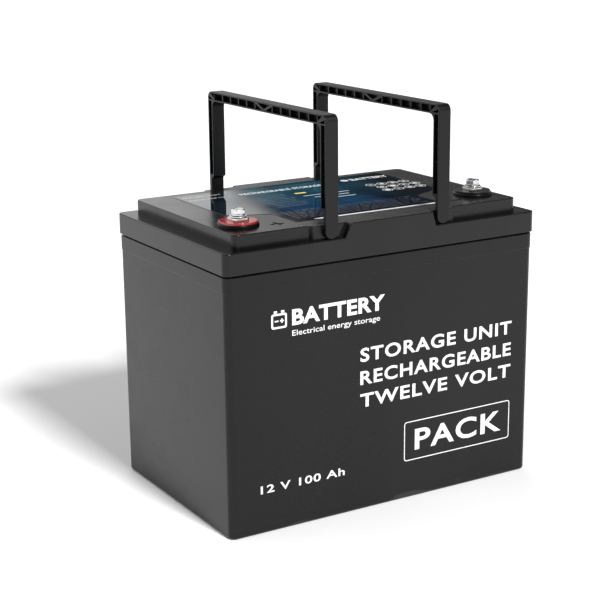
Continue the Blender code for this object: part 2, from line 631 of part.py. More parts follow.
# --------------------------------------------------------------------- management board
def build_board(mats):
    tray_low, tray_high = CELL_TOP + GAP, CELL_TOP + 3.3 * MM
    tray = [rounded_rect(104 * MM, 40 * MM, 3 * MM, z, steps=2) for z in (tray_low, tray_high)]
    add_object("board_tray", loft(tray), mats["board"])
    post_x, post_y = 68 * MM, 34 * MM
    index = 0
    for x in (-post_x, post_x):
        for y in (-post_y, post_y):
            index += 1
            post = turned([(3.5 * MM, tray_high + GAP), (3.5 * MM, BOARD_Z - GAP)], steps=6)
            add_object(f"board_standoff_{index}", post, mats["brass"], (x, y, 0))
    top = BOARD_Z + BOARD_THICKNESS
    board = [rounded_rect(BOARD_HALF_X, BOARD_HALF_Y, 3 * MM, z, steps=2) for z in (BOARD_Z, top)]
    add_object("management_board", loft(board), mats["pcb"])

    bank_end, bank_y = 56 * MM, (-20 * MM, -14 * MM)
    bank = bmesh.new()
    add_box(bank, (-bank_end, bank_y[0], top + GAP), (bank_end - 16 * MM, bank_y[1], top + 4.5 * MM))
    teeth = bmesh.new()
    for step in range(TRANSISTORS):
        x = step * TRANSISTOR_PITCH - bank_end + 4 * MM
        add_box(teeth, (x - 5 * MM, bank_y[1] - 1 * MM, top + GAP), (x + 5 * MM, 0, top + 4 * MM))
    transistors = add_object("transistor_bank", bank, mats["black"])
    modify(transistors, 'UNION', add_object("transistor_tool", teeth))

    sink_low, sink_half_y = top + 5 * MM, 40 * MM
    sink_start, sink_end = -62 * MM, 44 * MM
    sink = add_object("heat_sink", box_solid((sink_start, -sink_half_y, sink_low),
                                             (sink_end, sink_half_y, sink_low + 9 * MM)), mats["aluminium"])
    grooves = bmesh.new()
    for step in range(FIN_GROOVES):
        y = step * FIN_PITCH + FIN_PITCH - sink_half_y
        add_box(grooves, (sink_start - 8 * MM, y - FIN_PITCH / 4, sink_low + 3 * MM),
                (sink_end + 8 * MM, y + FIN_PITCH / 4, sink_low + 20 * MM))
    modify(sink, 'DIFFERENCE', add_object("sink_groove_tool", grooves))

    for name, side in (("input", -1), ("output", 1)):
        lug_y = sorted((side * (LUG_Y - 8 * MM), side * (LUG_Y + 8 * MM)))
        lug = box_solid((LUG_X - 8 * MM, lug_y[0], top + GAP), (LUG_X + 8 * MM, lug_y[1], top + LUG_HEIGHT))
        add_object(f"board_{name}_lug", lug, mats["copper"])
    plug = box_solid((SENSE_X, 10 * MM, top + GAP), (SENSE_X + 8 * MM, 38 * MM, top + 8 * MM))
    add_object("sense_connector", plug, mats["white"])


def build_leads(centres, mats):
    board_top = BOARD_Z + BOARD_THICKNESS
    tab_top = BUSBAR_Z + BUSBAR_THICKNESS + GAP
    post_foot = POST_FOOT_Z - GAP
    lug_top = board_top + LUG_HEIGHT + GAP
    left, right = centres[0], centres[-1]
    cable("positive_lead", [(left, -PAD_Y, tab_top), (left, -PAD_Y, tab_top + 16 * MM),
                            (-88 * MM, -51 * MM, 162 * MM), (-99 * MM, TERMINAL_Y, 180 * MM),
                            (-TERMINAL_X, TERMINAL_Y, post_foot)],
          CABLE_DIAMETER, mats["red_cable"])
    cable("negative_lead", [(right, -PAD_Y, tab_top), (right, -PAD_Y, tab_top + 17 * MM),
                            (right + 3 * MM, -PAD_Y, 164 * MM), (right - 4 * MM, -47 * MM, 181 * MM),
                            (LUG_X + 6 * MM, -38 * MM, 183 * MM), (LUG_X, -LUG_Y, 173 * MM),
                            (LUG_X, -LUG_Y, lug_top)],
          CABLE_DIAMETER, mats["black_cable"])
    cable("output_lead", [(LUG_X, LUG_Y, lug_top), (LUG_X, LUG_Y, 171 * MM), (66 * MM, 30 * MM, 185 * MM),
                          (86 * MM, 8 * MM, 190 * MM), (98 * MM, -20 * MM, 180 * MM),
                          (102 * MM, -43 * MM, 175 * MM), (TERMINAL_X, TERMINAL_Y, 185 * MM),
                          (TERMINAL_X, TERMINAL_Y, post_foot)],
          CABLE_DIAMETER, mats["black_cable"])
    plug_x, plug_z = SENSE_X - GAP, board_top + 3.4 * MM
    cable("sense_harness", [(plug_x, 30 * MM, plug_z), (plug_x - 6.7 * MM, 31 * MM, plug_z - 1 * MM),
                            (-88 * MM, 38 * MM, 146 * MM), (-86 * MM, 46 * MM, 138 * MM),
                            (-74 * MM, 50 * MM, tab_top + 1.6 * MM)],
          3 * MM, mats["white"], per_span=4)
    probe_x, probe_z, probe_y = -94 * MM, CELL_TOP + 5.9 * MM, (-36 * MM, -22 * MM)
    cable("temperature_lead", [(plug_x, 16 * MM, plug_z), (plug_x - 6.7 * MM, 15 * MM, plug_z - 1 * MM),
                               (-88 * MM, 6 * MM, 144 * MM), (probe_x, -8 * MM, 134 * MM),
                               (probe_x, probe_y[1] + GAP, probe_z)],
          2.5 * MM, mats["black_cable"], per_span=4)
    probe = bmesh.new()
    cylinder_y(probe, (probe_x, probe_z), 2.2 * MM, *probe_y, steps=10)
    add_object("temperature_probe", probe, mats["steel"])


def main():
    clear_scene()
    plastic = material("case_plastic", (0.030, 0.031, 0.033), 0.42)
    cover_plastic = material("cover_plastic", (0.030, 0.031, 0.033), 0.36)
    handle_plastic = material("handle_plastic", (0.024, 0.025, 0.027), 0.48)
    rubber = material("gasket_rubber", (0.012, 0.012, 0.012), 0.8)
    label = material("label_print", (0.012, 0.085, 0.16), 0.28)
    terminal_mats = {"base": material("terminal_base", (0.010, 0.010, 0.011), 0.3),
                     "nut": material("lock_nut_nylon", (0.016, 0.016, 0.017), 0.5),
                     "positive": material("positive_marker", (0.62, 0.018, 0.022), 0.22),
                     "negative": material("negative_marker", (0.014, 0.014, 0.016), 0.25),
                     "post": material("plated_brass", (0.72, 0.69, 0.62), 0.24, 1.0),
                     "steel": material("zinc_steel", (0.70, 0.71, 0.73), 0.26, 1.0)}
    pack_mats = {"cell": material("cell_film", (0.02, 0.10, 0.36), 0.35),
                 "board": material("insulating_board", (0.62, 0.60, 0.52), 0.6),
                 "copper": material("copper_bar", (0.80, 0.42, 0.26), 0.3, 1.0),
                 "aluminium": material("aluminium_plate", (0.76, 0.77, 0.78), 0.35, 1.0),
                 "foam": material("black_foam", (0.02, 0.02, 0.02), 0.95),
                 "strap": material("steel_strap", (0.55, 0.56, 0.58), 0.35, 1.0),
                 "brass": material("standoff_brass", (0.78, 0.62, 0.32), 0.3, 1.0),
                 "pcb": material("board_laminate", (0.01, 0.12, 0.05), 0.4),
                 "black": material("transistor_epoxy", (0.015, 0.015, 0.016), 0.5),
                 "white": material("nylon_white", (0.75, 0.74, 0.70), 0.45),
                 "red_cable": material("red_silicone", (0.55, 0.02, 0.02), 0.5),
                 "black_cable": material("black_silicone", (0.015, 0.015, 0.015), 0.5),
                 "steel": terminal_mats["steel"]}

    build_case(plastic)
    build_cover(cover_plastic)
    build_gasket(rubber)
    build_label(label)
    build_handle("left_handle", -PIVOT_X, handle_plastic)
    build_handle("right_handle", PIVOT_X, handle_plastic)
    build_terminal("positive", -TERMINAL_X, terminal_mats)
    build_terminal("negative", TERMINAL_X, terminal_mats)
    centres = build_pack(pack_mats)
    build_board(pack_mats)
    build_leads(centres, pack_mats)


main()
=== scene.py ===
"""Looks for the deep cycle battery: moulded shells, pocketed bails, plated terminals and print."""
import json
import math

import bmesh
import bpy
from mathutils import Matrix, Vector


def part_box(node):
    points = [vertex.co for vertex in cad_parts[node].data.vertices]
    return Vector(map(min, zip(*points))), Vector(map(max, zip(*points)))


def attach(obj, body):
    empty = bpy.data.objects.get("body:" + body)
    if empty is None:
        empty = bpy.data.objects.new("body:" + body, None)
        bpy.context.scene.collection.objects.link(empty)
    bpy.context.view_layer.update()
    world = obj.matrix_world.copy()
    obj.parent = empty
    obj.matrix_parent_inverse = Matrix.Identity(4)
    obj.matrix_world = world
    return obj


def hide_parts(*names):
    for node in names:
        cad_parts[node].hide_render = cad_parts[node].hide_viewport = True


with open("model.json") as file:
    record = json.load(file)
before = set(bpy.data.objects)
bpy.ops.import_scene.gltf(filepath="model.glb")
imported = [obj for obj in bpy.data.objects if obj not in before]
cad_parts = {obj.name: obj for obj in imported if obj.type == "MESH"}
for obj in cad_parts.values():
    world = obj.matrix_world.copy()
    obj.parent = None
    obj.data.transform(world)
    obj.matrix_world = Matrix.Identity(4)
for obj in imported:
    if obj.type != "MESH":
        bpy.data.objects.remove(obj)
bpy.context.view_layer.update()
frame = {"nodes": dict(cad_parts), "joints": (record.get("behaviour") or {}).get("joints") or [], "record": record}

MM = 0.001
ROOT = "battery"

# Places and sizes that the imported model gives
CASE_LOW, CASE_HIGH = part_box("case")
COVER_LOW, COVER_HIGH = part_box("cover")
LABEL_LOW, LABEL_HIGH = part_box("top_label")
JOINTS = {joint["name"]: joint for joint in frame["joints"]}
PIVOTS = {side: Vector(JOINTS[side + "_handle_fold"]["pos_m"]) for side in ("left", "right")}
HALF_X, HALF_Y = COVER_HIGH.x, COVER_HIGH.y
SKIRT_BOTTOM, DECK_TOP = COVER_LOW.z, COVER_HIGH.z

# Case
CASE_TOP = SKIRT_BOTTOM - 1.2 * MM
BAND_HEIGHT = 10.7 * MM
BAND_BOTTOM = CASE_TOP - BAND_HEIGHT
CASE_WALL = 3.6 * MM
CASE_FLOOR = 4.0 * MM
CASE_CORNER = 6.2 * MM              # at the cover's outline: an inset takes its own size off it
BAND_INSET = 0.5 * MM
BODY_INSET = 0.9 * MM
FOOT_INSET = 1.2 * MM
FOOT_ROUND = 2.4 * MM
TONGUE_INSET = 2.9 * MM

# Cover
COVER_CORNER = 5.0 * MM
LEDGE_TOP = DECK_TOP - 9.9 * MM
SKIRT_CAVITY_TOP = LEDGE_TOP - 4.0 * MM
SKIRT_WALL = 2.6 * MM
SKIRT_ROUND = 0.9 * MM
SKIRT_FOOT_ROUND = 0.5 * MM
DECK_THICKNESS = 3.35 * MM
DECK_HALF_X = HALF_X - 11.5 * MM
DECK_HALF_Y = HALF_Y - 8.2 * MM
DECK_CORNER = 5.0 * MM
DECK_ROUND = 0.7 * MM
UNDER_DECK = DECK_TOP - DECK_THICKNESS
BOSS_HALF_X = 58.8 * MM
BOSS_HALF_Y = HALF_Y - 4.5 * MM
BOSS_SLANT = 2.2 * MM               # how far a boss's end slopes back towards the deck's side
BLOCK_TOP = (-31.8 * MM, 37.4 * MM)     # left and right sides of the centre block, at the deck
BLOCK_FOOT = (-36.2 * MM, 40.0 * MM)    # and at the ledge
SLOT_Y = (72.6 * MM, 73.9 * MM)     # the slots behind the hinge bosses
SLOT_HALF_X = 5.8 * MM
MARK_ASIDE = 24.1 * MM              # from a terminal's centre to its polarity mark
MARK_FORWARD = 11.0 * MM

# Label: wide behind, and narrower in front, where it passes between the terminals
LABEL_TOP = DECK_TOP + 0.2 * MM
LABEL_NARROW = 61.7 * MM
LABEL_SHOULDER = -28.6 * MM
LABEL_TAPER = 14 * MM

# Handles, about their pivots
HANDLE_DEPTH = 10.2 * MM
HANDLE_OUTER_Y = 83.5 * MM
HANDLE_REACH = 79.4 * MM
BAR_HEIGHT = 7.1 * MM
BAR_RECESS = 0.6 * MM               # of the bar's ribs, below the handle's face
BAR_POCKETS = 5                     # each way from the middle ones
LEG_THICKNESS = 6.9 * MM
LEG_FOOT_THICKNESS = 3.5 * MM
LEG_STEP = 12.8 * MM
LEG_STEP_SLOPE = 2.2 * MM
LEG_RECESS = 1.8 * MM
LEG_POCKETS = 5
TRUNNION_RADIUS = 3.0 * MM
TRUNNION_HOLE = 3.4 * MM
TRUNNION_HOLE_Y = 73.3 * MM
TRUNNION_END_Y = 74.8 * MM
POCKET_PITCH = 12.2 * MM
POCKET_RIB = 1.05 * MM
RIM = 1.1 * MM
WEB = 2.0 * MM
POCKET_LOW = HANDLE_REACH - BAR_HEIGHT + RIM
POCKET_HIGH = HANDLE_REACH - RIM
BAR_END = (BAR_POCKETS + 1) * POCKET_PITCH

# Terminals
TERMINAL_SEAT = DECK_TOP - 0.85 * MM
TERMINAL_BORE = 6.3 * MM
HUB_RADIUS = 9.0 * MM
HUB_HOLE = 9.3 * MM
MARKER_SUNK = 0.28 * MM             # how far a marker disc sits into its base ring
POST_CUT = 2.2 * MM                 # across each cut corner of the square post
POST_FOOT_RADIUS = 6.0 * MM
BOLT_HOLE = 3.2 * MM
WASHER_BORE = 3.3 * MM
SPRING_RADIUS = 4.9 * MM
SPRING_THICKNESS = 0.9 * MM
THREAD_PITCH = 1.0 * MM
THREAD_RADIUS = 2.95 * MM
THREAD_ROOT = 2.5 * MM

# Camera: a long lens, beyond the front left corner and above it
VIEW_AZIMUTH = math.radians(30.588)
VIEW_ELEVATION = math.radians(14.47)
VIEW_ROLL = math.radians(-0.657)
CAMERA_PLACE = Vector((-0.57737, -0.92042, 0.42312))
LENS = 89.746
SHIFT = (0.02137, -0.01724)

# Studio light: a key lamp in front, and a room with a bright wall behind and to the left.
# Headings turn from straight behind (+Y) towards the right (+X).
KEY_AZIMUTH = math.radians(5.0)
KEY_ELEVATION = math.radians(38.3)
KEY_SPREAD = math.radians(11.0)
KEY_POWER = 3.9
WALL_LEVEL = 1.4
WALL_EDGE = math.radians(29.35)
WALL_SOFTNESS = math.radians(0.5)
WALL_LEAN = math.radians(2.1)       # how far the wall's edge leans over, each way
LEAN_HEIGHTS = (0.155, 0.235)       # sines of the elevations that it leans between
WALL_REACH = math.radians(12.0)     # how much further it comes round higher up
REACH_HEIGHTS = (0.21, 0.42)
DARK_LEVEL = 0.02                   # right of the wall
ROOM_LEVEL = 0.31                   # in front
ROOM_RIGHT = (math.radians(75), math.radians(105))      # the dark turns into the room's level
ROOM_LEFT = (math.radians(-110), math.radians(-60))     # and the room's into the wall's
FLOOR_HALF = 30.0


# ---------------------------------------------------------------------------- camera, stage
def build_camera():
    forward = Vector((math.sin(VIEW_AZIMUTH) * math.cos(VIEW_ELEVATION),
                      math.cos(VIEW_AZIMUTH) * math.cos(VIEW_ELEVATION), -math.sin(VIEW_ELEVATION)))
    level_right = Vector((math.cos(VIEW_AZIMUTH), -math.sin(VIEW_AZIMUTH), 0))
    level_up = level_right.cross(forward)
    right = level_right * math.cos(VIEW_ROLL) + level_up * math.sin(VIEW_ROLL)
    up = right.cross(forward)
    data = bpy.data.cameras.new("camera")
    data.lens = LENS
    data.sensor_width = 36.0
    data.shift_x, data.shift_y = SHIFT
    camera = bpy.data.objects.new("camera", data)
    turn = Matrix((right, up, -forward)).transposed()
    camera.matrix_world = Matrix.Translation(CAMERA_PLACE) @ turn.to_4x4()
    bpy.context.scene.collection.objects.link(camera)
    bpy.context.scene.camera = camera


def build_floor():
    bm = bmesh.new()
    bm.faces.new([bm.verts.new((x * FLOOR_HALF, y * FLOOR_HALF, 0))
                  for x, y in ((-1, -1), (1, -1), (1, 1), (-1, 1))])
    paper = Surface("studio_paper", (0.97, 0.97, 0.97), roughness=1.0, specular=0.0)
    floor = add_piece("studio_floor", bm, paper.material)


def build_key():
    direction = Vector((math.sin(KEY_AZIMUTH) * math.cos(KEY_ELEVATION),
                        -math.cos(KEY_AZIMUTH) * math.cos(KEY_ELEVATION), math.sin(KEY_ELEVATION)))
    data = bpy.data.lights.new("key", 'SUN')
    data.angle = KEY_SPREAD
    data.energy = KEY_POWER
    key = bpy.data.objects.new("key", data)
    key.location = direction
    key.rotation_euler = direction.to_track_quat('Z', 'Y').to_euler()
    bpy.context.scene.collection.objects.link(key)


def build_room():
    """The world light: how bright the room is at each heading."""
    world = bpy.data.worlds.new("studio")
    world.use_nodes = True
    tree = world.node_tree
    tree.nodes.clear()
    coords = tree.nodes.new("ShaderNodeTexCoord")
    split = tree.nodes.new("ShaderNodeSeparateXYZ")
    tree.links.new(coords.outputs["Generated"], split.inputs[0])
    heading = maths(tree, 'ARCTAN2', split.outputs["X"], split.outputs["Y"])

    def ease(value, span, levels):
        return map_range(tree, value, span, levels, 'SMOOTHSTEP')

    lean = ease(split.outputs["Z"], LEAN_HEIGHTS, (-WALL_LEAN, WALL_LEAN))
    reach = ease(split.outputs["Z"], REACH_HEIGHTS, (0.0, WALL_REACH))
    bearing = maths(tree, 'SUBTRACT', maths(tree, 'SUBTRACT', heading, lean), reach)
    edge = (WALL_EDGE - WALL_SOFTNESS, WALL_EDGE + WALL_SOFTNESS)
    wall = ease(bearing, edge, (WALL_LEVEL, DARK_LEVEL))
    right = ease(heading, ROOM_RIGHT, (0.0, ROOM_LEVEL))
    left = ease(heading, ROOM_LEFT, (1.0, 0.0))
    mix = tree.nodes.new("ShaderNodeMix")
    tree.links.new(left, mix.inputs[0])
    tree.links.new(maths(tree, 'MAXIMUM', wall, right), mix.inputs[2])
    mix.inputs[3].default_value = ROOM_LEVEL
    background = tree.nodes.new("ShaderNodeBackground")
    tree.links.new(mix.outputs[0], background.inputs["Strength"])
    output = tree.nodes.new("ShaderNodeOutputWorld")
    tree.links.new(background.outputs[0], output.inputs[0])
    bpy.context.scene.world = world


# -------------------------------------------------------------------------------- materials
def fill(tree, socket, value):
    """Link an output to a socket, or give the socket a value of its own."""
    if hasattr(value, "is_output"):
        tree.links.new(value, socket)
    else:
        socket.default_value = value


def maths(tree, operation, *values):
    node = tree.nodes.new("ShaderNodeMath")
    node.operation = operation
    for socket, value in zip(node.inputs, values):
        fill(tree, socket, value)
    return node.outputs[0]


def map_range(tree, value, span, levels, kind='LINEAR'):
    node = tree.nodes.new("ShaderNodeMapRange")
    node.interpolation_type = kind
    for socket, number in zip(node.inputs, (value, *span, *levels)):
        fill(tree, socket, number)
    return node.outputs[0]


class Surface:
    """A Principled material, with short calls for the nodes that give it its detail."""

    def __init__(self, name, colour, roughness, metallic=0.0, specular=0.5):
        self.material = bpy.data.materials.new(name)
        self.material.use_nodes = True
        self.tree = self.material.node_tree
        self.shader = self.tree.nodes["Principled BSDF"]
        self.set("Base Color", (*colour, 1.0))
        self.set("Roughness", roughness)
        self.set("Metallic", metallic)
        self.set("Specular IOR Level", specular)
        self.material.diffuse_color = (*colour, 1.0)
        self.coords = self.tree.nodes.new("ShaderNodeTexCoord").outputs["Object"]

    def set(self, socket, value):
        self.shader.inputs[socket].default_value = value

    def feed(self, socket, output):
        self.tree.links.new(output, self.shader.inputs[socket])

    def node(self, kind, **sockets):
        """A new node, with the sockets named here filled."""
        node = self.tree.nodes.new("ShaderNode" + kind)
        for name, value in sockets.items():
            fill(self.tree, node.inputs[name], value)
        return node

    def stretched(self, scale):
        return self.node("Mapping", Scale=scale, Vector=self.coords).outputs[0]

    def noise(self, scale, detail=2.0, coords=None, distortion=0.0):
        made = self.node("TexNoise", Scale=scale, Detail=detail, Distortion=distortion,
                         Vector=coords or self.coords)
        return made.outputs["Fac"]

    def cells(self, scale):
        return self.node("TexVoronoi", Scale=scale, Vector=self.coords).outputs["Distance"]

    def axis(self, name):
        return self.node("SeparateXYZ", Vector=self.coords).outputs[name]

    def remap(self, value, low, high, to_low=0.0, to_high=1.0):
        return map_range(self.tree, value, (low, high), (to_low, to_high))

    def maths(self, operation, *values):
        return maths(self.tree, operation, *values)

    def blend(self, factor, first, second):
        node = self.tree.nodes.new("ShaderNodeMix")
        node.data_type = 'RGBA'
        for index, value in ((0, factor), (6, first), (7, second)):
            if isinstance(value, tuple):
                value = (*value, 1.0)
            fill(self.tree, node.inputs[index], value)
        return node.outputs[2]

    def bump(self, height, strength, distance):
        node = self.node("Bump", Strength=strength, Distance=distance, Height=height)
        self.feed("Normal", node.outputs[0])


def plastic(name, colour, roughness, grain=1500.0, relief=0.05, scuff_z=None, specular=0.5):
    """Moulded plastic: fine spark-eroded grain, faint flow marks, smudges, scuffs near the foot."""
    made = Surface(name, colour, roughness, specular=specular)
    lighter = tuple(value * 1.7 + 0.0012 for value in colour)
    flow = made.noise(9.0, detail=4.0, coords=made.stretched((1.0, 1.0, 0.25)), distortion=0.4)
    speck = made.noise(grain, detail=3.0)
    shade = made.blend(made.remap(flow, 0.35, 0.75), colour, lighter)
    shade = made.blend(made.remap(speck, 0.62, 0.8, 0.0, 0.35), shade, lighter)
    flow_gloss = made.remap(flow, 0.3, 0.7, -0.03, 0.04)
    gloss = made.maths('ADD', flow_gloss, made.remap(speck, 0.3, 0.7, -0.03, 0.03))
    smudge = made.remap(made.noise(26.0, detail=5.0, distortion=1.2), 0.52, 0.72, 0.0, 0.05)
    gloss = made.maths('ADD', gloss, smudge)
    if scuff_z is not None:
        scratches = made.noise(220.0, detail=6.0, coords=made.stretched((0.15, 0.15, 1.0)))
        near_foot = made.remap(made.axis("Z"), scuff_z, scuff_z + 9 * MM, 1.0, 0.0)
        wear = made.maths('MULTIPLY', near_foot, made.remap(scratches, 0.56, 0.66))
        shade = made.blend(made.maths('MULTIPLY', wear, 0.3), shade, (0.09, 0.09, 0.09))
        gloss = made.maths('ADD', gloss, made.maths('MULTIPLY', wear, 0.25))
    made.feed("Base Color", shade)
    made.feed("Roughness", made.maths('ADD', gloss, roughness))
    made.bump(speck, relief, 0.1 * MM)
    return made.material


def plated(name, colour, roughness):
    """Bright plated metal with a drawn grain and faint handling marks."""
    made = Surface(name, colour, roughness, metallic=1.0)
    darker = tuple(value * 0.72 for value in colour)
    cloud = made.noise(180.0, detail=4.0)
    lines = made.noise(260.0, detail=4.0, coords=made.stretched((1.0, 1.0, 9.0)))
    marks = made.remap(made.noise(700.0, detail=6.0, distortion=2.0), 0.58, 0.66)
    dulled = made.maths('MULTIPLY', made.remap(cloud, 0.4, 0.7), 0.6)
    made.feed("Base Color", made.blend(dulled, colour, darker))
    drawn = made.remap(lines, 0.3, 0.7, -0.05, 0.06)
    gloss = made.maths('ADD', drawn, made.maths('MULTIPLY', marks, 0.12))
    made.feed("Roughness", made.maths('ADD', gloss, roughness))
    made.bump(lines, 0.04, 0.1 * MM)
    return made.material


def rubbery(name, colour, roughness=0.8, grain=900.0):
    """Rubber, foam or silicone: matte, with an open grain and dusty high spots."""
    made = Surface(name, colour, roughness)
    cell = made.cells(grain)
    dust = made.noise(60.0, detail=5.0)
    pale = tuple(value * 1.5 + 0.012 for value in colour)
    made.feed("Base Color", made.blend(made.remap(dust, 0.45, 0.75, 0.0, 0.6), colour, pale))
    made.feed("Roughness", made.remap(cell, 0.0, 0.8, roughness - 0.1, roughness + 0.08))
    made.bump(cell, 0.25, 0.2 * MM)
    return made.material


# ----------------------------------------------------------------------------- mesh helpers
def add_piece(name, bm, material=None, location=(0, 0, 0), smooth_angle=None):
    bmesh.ops.recalc_face_normals(bm, faces=bm.faces)
    mesh = bpy.data.meshes.new(name)
    bm.to_mesh(mesh)
    bm.free()
    if material:
        mesh.materials.append(material)
    piece = bpy.data.objects.new(name, mesh)
    piece.location = location
    bpy.context.scene.collection.objects.link(piece)
    if smooth_angle:
        soften(piece, smooth_angle)
    return piece


def soften(piece, angle):
    """Smooth shading across round stretches, with large flat faces kept flat."""
    piece.data.shade_smooth()
    piece.data.set_sharp_from_angle(angle=math.radians(angle))
    weighted = piece.modifiers.new("weighted_normals", 'WEIGHTED_NORMAL')
    weighted.keep_sharp = True
    weighted.weight = 100


def ring(radius_at, z, steps):
    points = []
    for step in range(steps):
        angle = math.tau * step / steps
        radius = radius_at(angle)
        points.append(Vector((radius * math.cos(angle), radius * math.sin(angle), z)))
    return points


def circle(radius, z, steps=64):
    return ring(lambda angle: radius, z, steps)


def fillet_outline(corners, z, steps=6):
    """Round each (x, y, radius) corner of a closed polygon with an arc; radius 0 keeps it sharp."""
    points = []
    for index, (x, y, radius) in enumerate(corners):
        if radius == 0:
            points.append(Vector((x, y, z)))
            continue
        corner = Vector((x, y))
        back = (Vector(corners[index - 1][:2]) - corner).normalized()
        ahead = (Vector(corners[(index + 1) % len(corners)][:2]) - corner).normalized()
        half_angle = math.acos(max(-1.0, min(1.0, back.dot(ahead)))) / 2
        centre = corner + (back + ahead).normalized() * radius / math.sin(half_angle)
        start = corner + back * radius / math.tan(half_angle) - centre
        end = corner + ahead * radius / math.tan(half_angle) - centre
        sweep = start.angle_signed(end)
        for step in range(steps + 1):
            turn = -sweep * step / steps
            spoke = Vector((start.x * math.cos(turn) - start.y * math.sin(turn),
                            start.x * math.sin(turn) + start.y * math.cos(turn)))
            points.append(Vector((*(centre + spoke), z)))
    return points


def rounded_rect(half_x, half_y, radius, z, steps=8):
    corners = ((-half_x, -half_y, radius), (half_x, -half_y, radius),
               (half_x, half_y, radius), (-half_x, half_y, radius))
    return fillet_outline(corners, z, steps)


def rectangle(low_u, low_v, high_u, high_v):
    return [(low_u, low_v), (high_u, low_v), (high_u, high_v), (low_u, high_v)]


def add_wall(bm, first, second):
    """Join two loops of vertices of equal length."""
    for index in range(len(first)):
        following = (index + 1) % len(first)
        bm.faces.new((first[index], first[following], second[following], second[index]))


def add_solid(bm, near_points, far_points):
    """A closed solid between two loops of points of equal length."""
    near = [bm.verts.new(point) for point in near_points]
    far = [bm.verts.new(point) for point in far_points]
    add_wall(bm, near, far)
    bm.faces.new(tuple(reversed(near)))
    bm.faces.new(far)


def loft(rings, closed=False):
    """Skin loops of equal length, capping the ends or joining the last loop to the first."""
    bm = bmesh.new()
    loops = [[bm.verts.new(point) for point in points] for points in rings]
    for lower, upper in zip(loops, loops[1:]):
        add_wall(bm, lower, upper)
    if closed:
        add_wall(bm, loops[-1], loops[0])
    else:
        bm.faces.new(tuple(reversed(loops[0])))
        bm.faces.new(loops[-1])
    return bm


def turned(profile, bored=False, steps=64):
    return loft([circle(radius, z, steps) for radius, z in profile], closed=bored)


def arc(centre, radius, start, end, steps=4):
    """(u, v) points along an arc, angles in degrees."""
    points = []
    for step in range(steps + 1):
        angle = math.radians(start + (end - start) * step / steps)
        points.append((centre[0] + radius * math.cos(angle), centre[1] + radius * math.sin(angle)))
    return points


def add_prism(bm, outline, low_x, high_x):
    """Add a prism along X with a (y, z) outline."""
    add_solid(bm, *([(x, y, z) for y, z in outline] for x in (low_x, high_x)))


def add_cylinder_y(bm, centre, radius, low_y, high_y, steps=40):
    """Add a cylinder along Y, round an (x, z) centre."""
    round_points = arc(centre, radius, 0, 360 * (steps - 1) / steps, steps - 1)
    add_solid(bm, *([(x, y, z) for x, z in round_points] for y in (low_y, high_y)))


def carve(piece, operation, bm, location=(0, 0, 0)):
    """Cut or weld a tool mesh into a piece for good, and drop the tool."""
    tool = add_piece(piece.name + "_tool", bm, location=location)
    boolean = piece.modifiers.new("carve", 'BOOLEAN')
    boolean.operation = operation
    boolean.solver = 'EXACT'
    boolean.object = tool
    bake_modifiers(piece)
    bpy.data.objects.remove(tool, do_unlink=True)


def bake_modifiers(piece):
    graph = bpy.context.evaluated_depsgraph_get()
    graph.update()
    mesh = bpy.data.meshes.new_from_object(piece.evaluated_get(graph))
    piece.modifiers.clear()
    old = piece.data
    piece.data = mesh
    mesh.name = old.name
    bpy.data.meshes.remove(old)


def round_edges(piece, width, segments, angle):
    bevel = piece.modifiers.new("round_edges", 'BEVEL')
    bevel.width = width
    bevel.segments = segments
    bevel.limit_method = 'ANGLE'
    bevel.angle_limit = math.radians(angle)
    bevel.use_clamp_overlap = True
    bevel.miter_outer = 'MITER_ARC'


def settle(piece, body, node=None):
    """Give a piece its body, and hide the node it stands for."""
    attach(piece, body)
    if node:
        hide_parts(node)
    return piece


def extent(node):
    """The bottom, the top and half the width of a round or square CAD node."""
    low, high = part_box(node)
    return low.z, high.z, (high.x - low.x) / 2


def terminal_place(polarity):
    low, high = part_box(polarity + "_terminal_base")
    return Vector(((low.x + high.x) / 2, (low.y + high.y) / 2, 0))


# --------------------------------------------------------------------------- case and cover
def build_case(material):
    """One profile of insets, from the foot up the outside, over the tongue and down to the floor."""
    inner = BODY_INSET + CASE_WALL
    profile = arc((FOOT_INSET + FOOT_ROUND, FOOT_ROUND), FOOT_ROUND, 270, 180, steps=5)
    profile += [(BODY_INSET, BAND_BOTTOM - 0.5 * MM), (BODY_INSET - 0.1 * MM, BAND_BOTTOM - 0.2 * MM),
                (BAND_INSET, BAND_BOTTOM + 0.1 * MM), (BAND_INSET, CASE_TOP - 0.5 * MM),
                (BAND_INSET + 0.15 * MM, CASE_TOP - 0.15 * MM), (BAND_INSET + 0.5 * MM, CASE_TOP),
                (TONGUE_INSET, CASE_TOP), (TONGUE_INSET, CASE_HIGH.z), (inner, CASE_HIGH.z),
                (inner + 0.3 * MM, CASE_FLOOR + 1.5 * MM), (inner + 1.8 * MM, CASE_FLOOR)]
    rings = [rounded_rect(HALF_X - inset, HALF_Y - inset, CASE_CORNER - inset, z) for inset, z in profile]
    case = add_piece("case_shell", loft(rings), material, smooth_angle=35)
    settle(case, ROOT, "case")


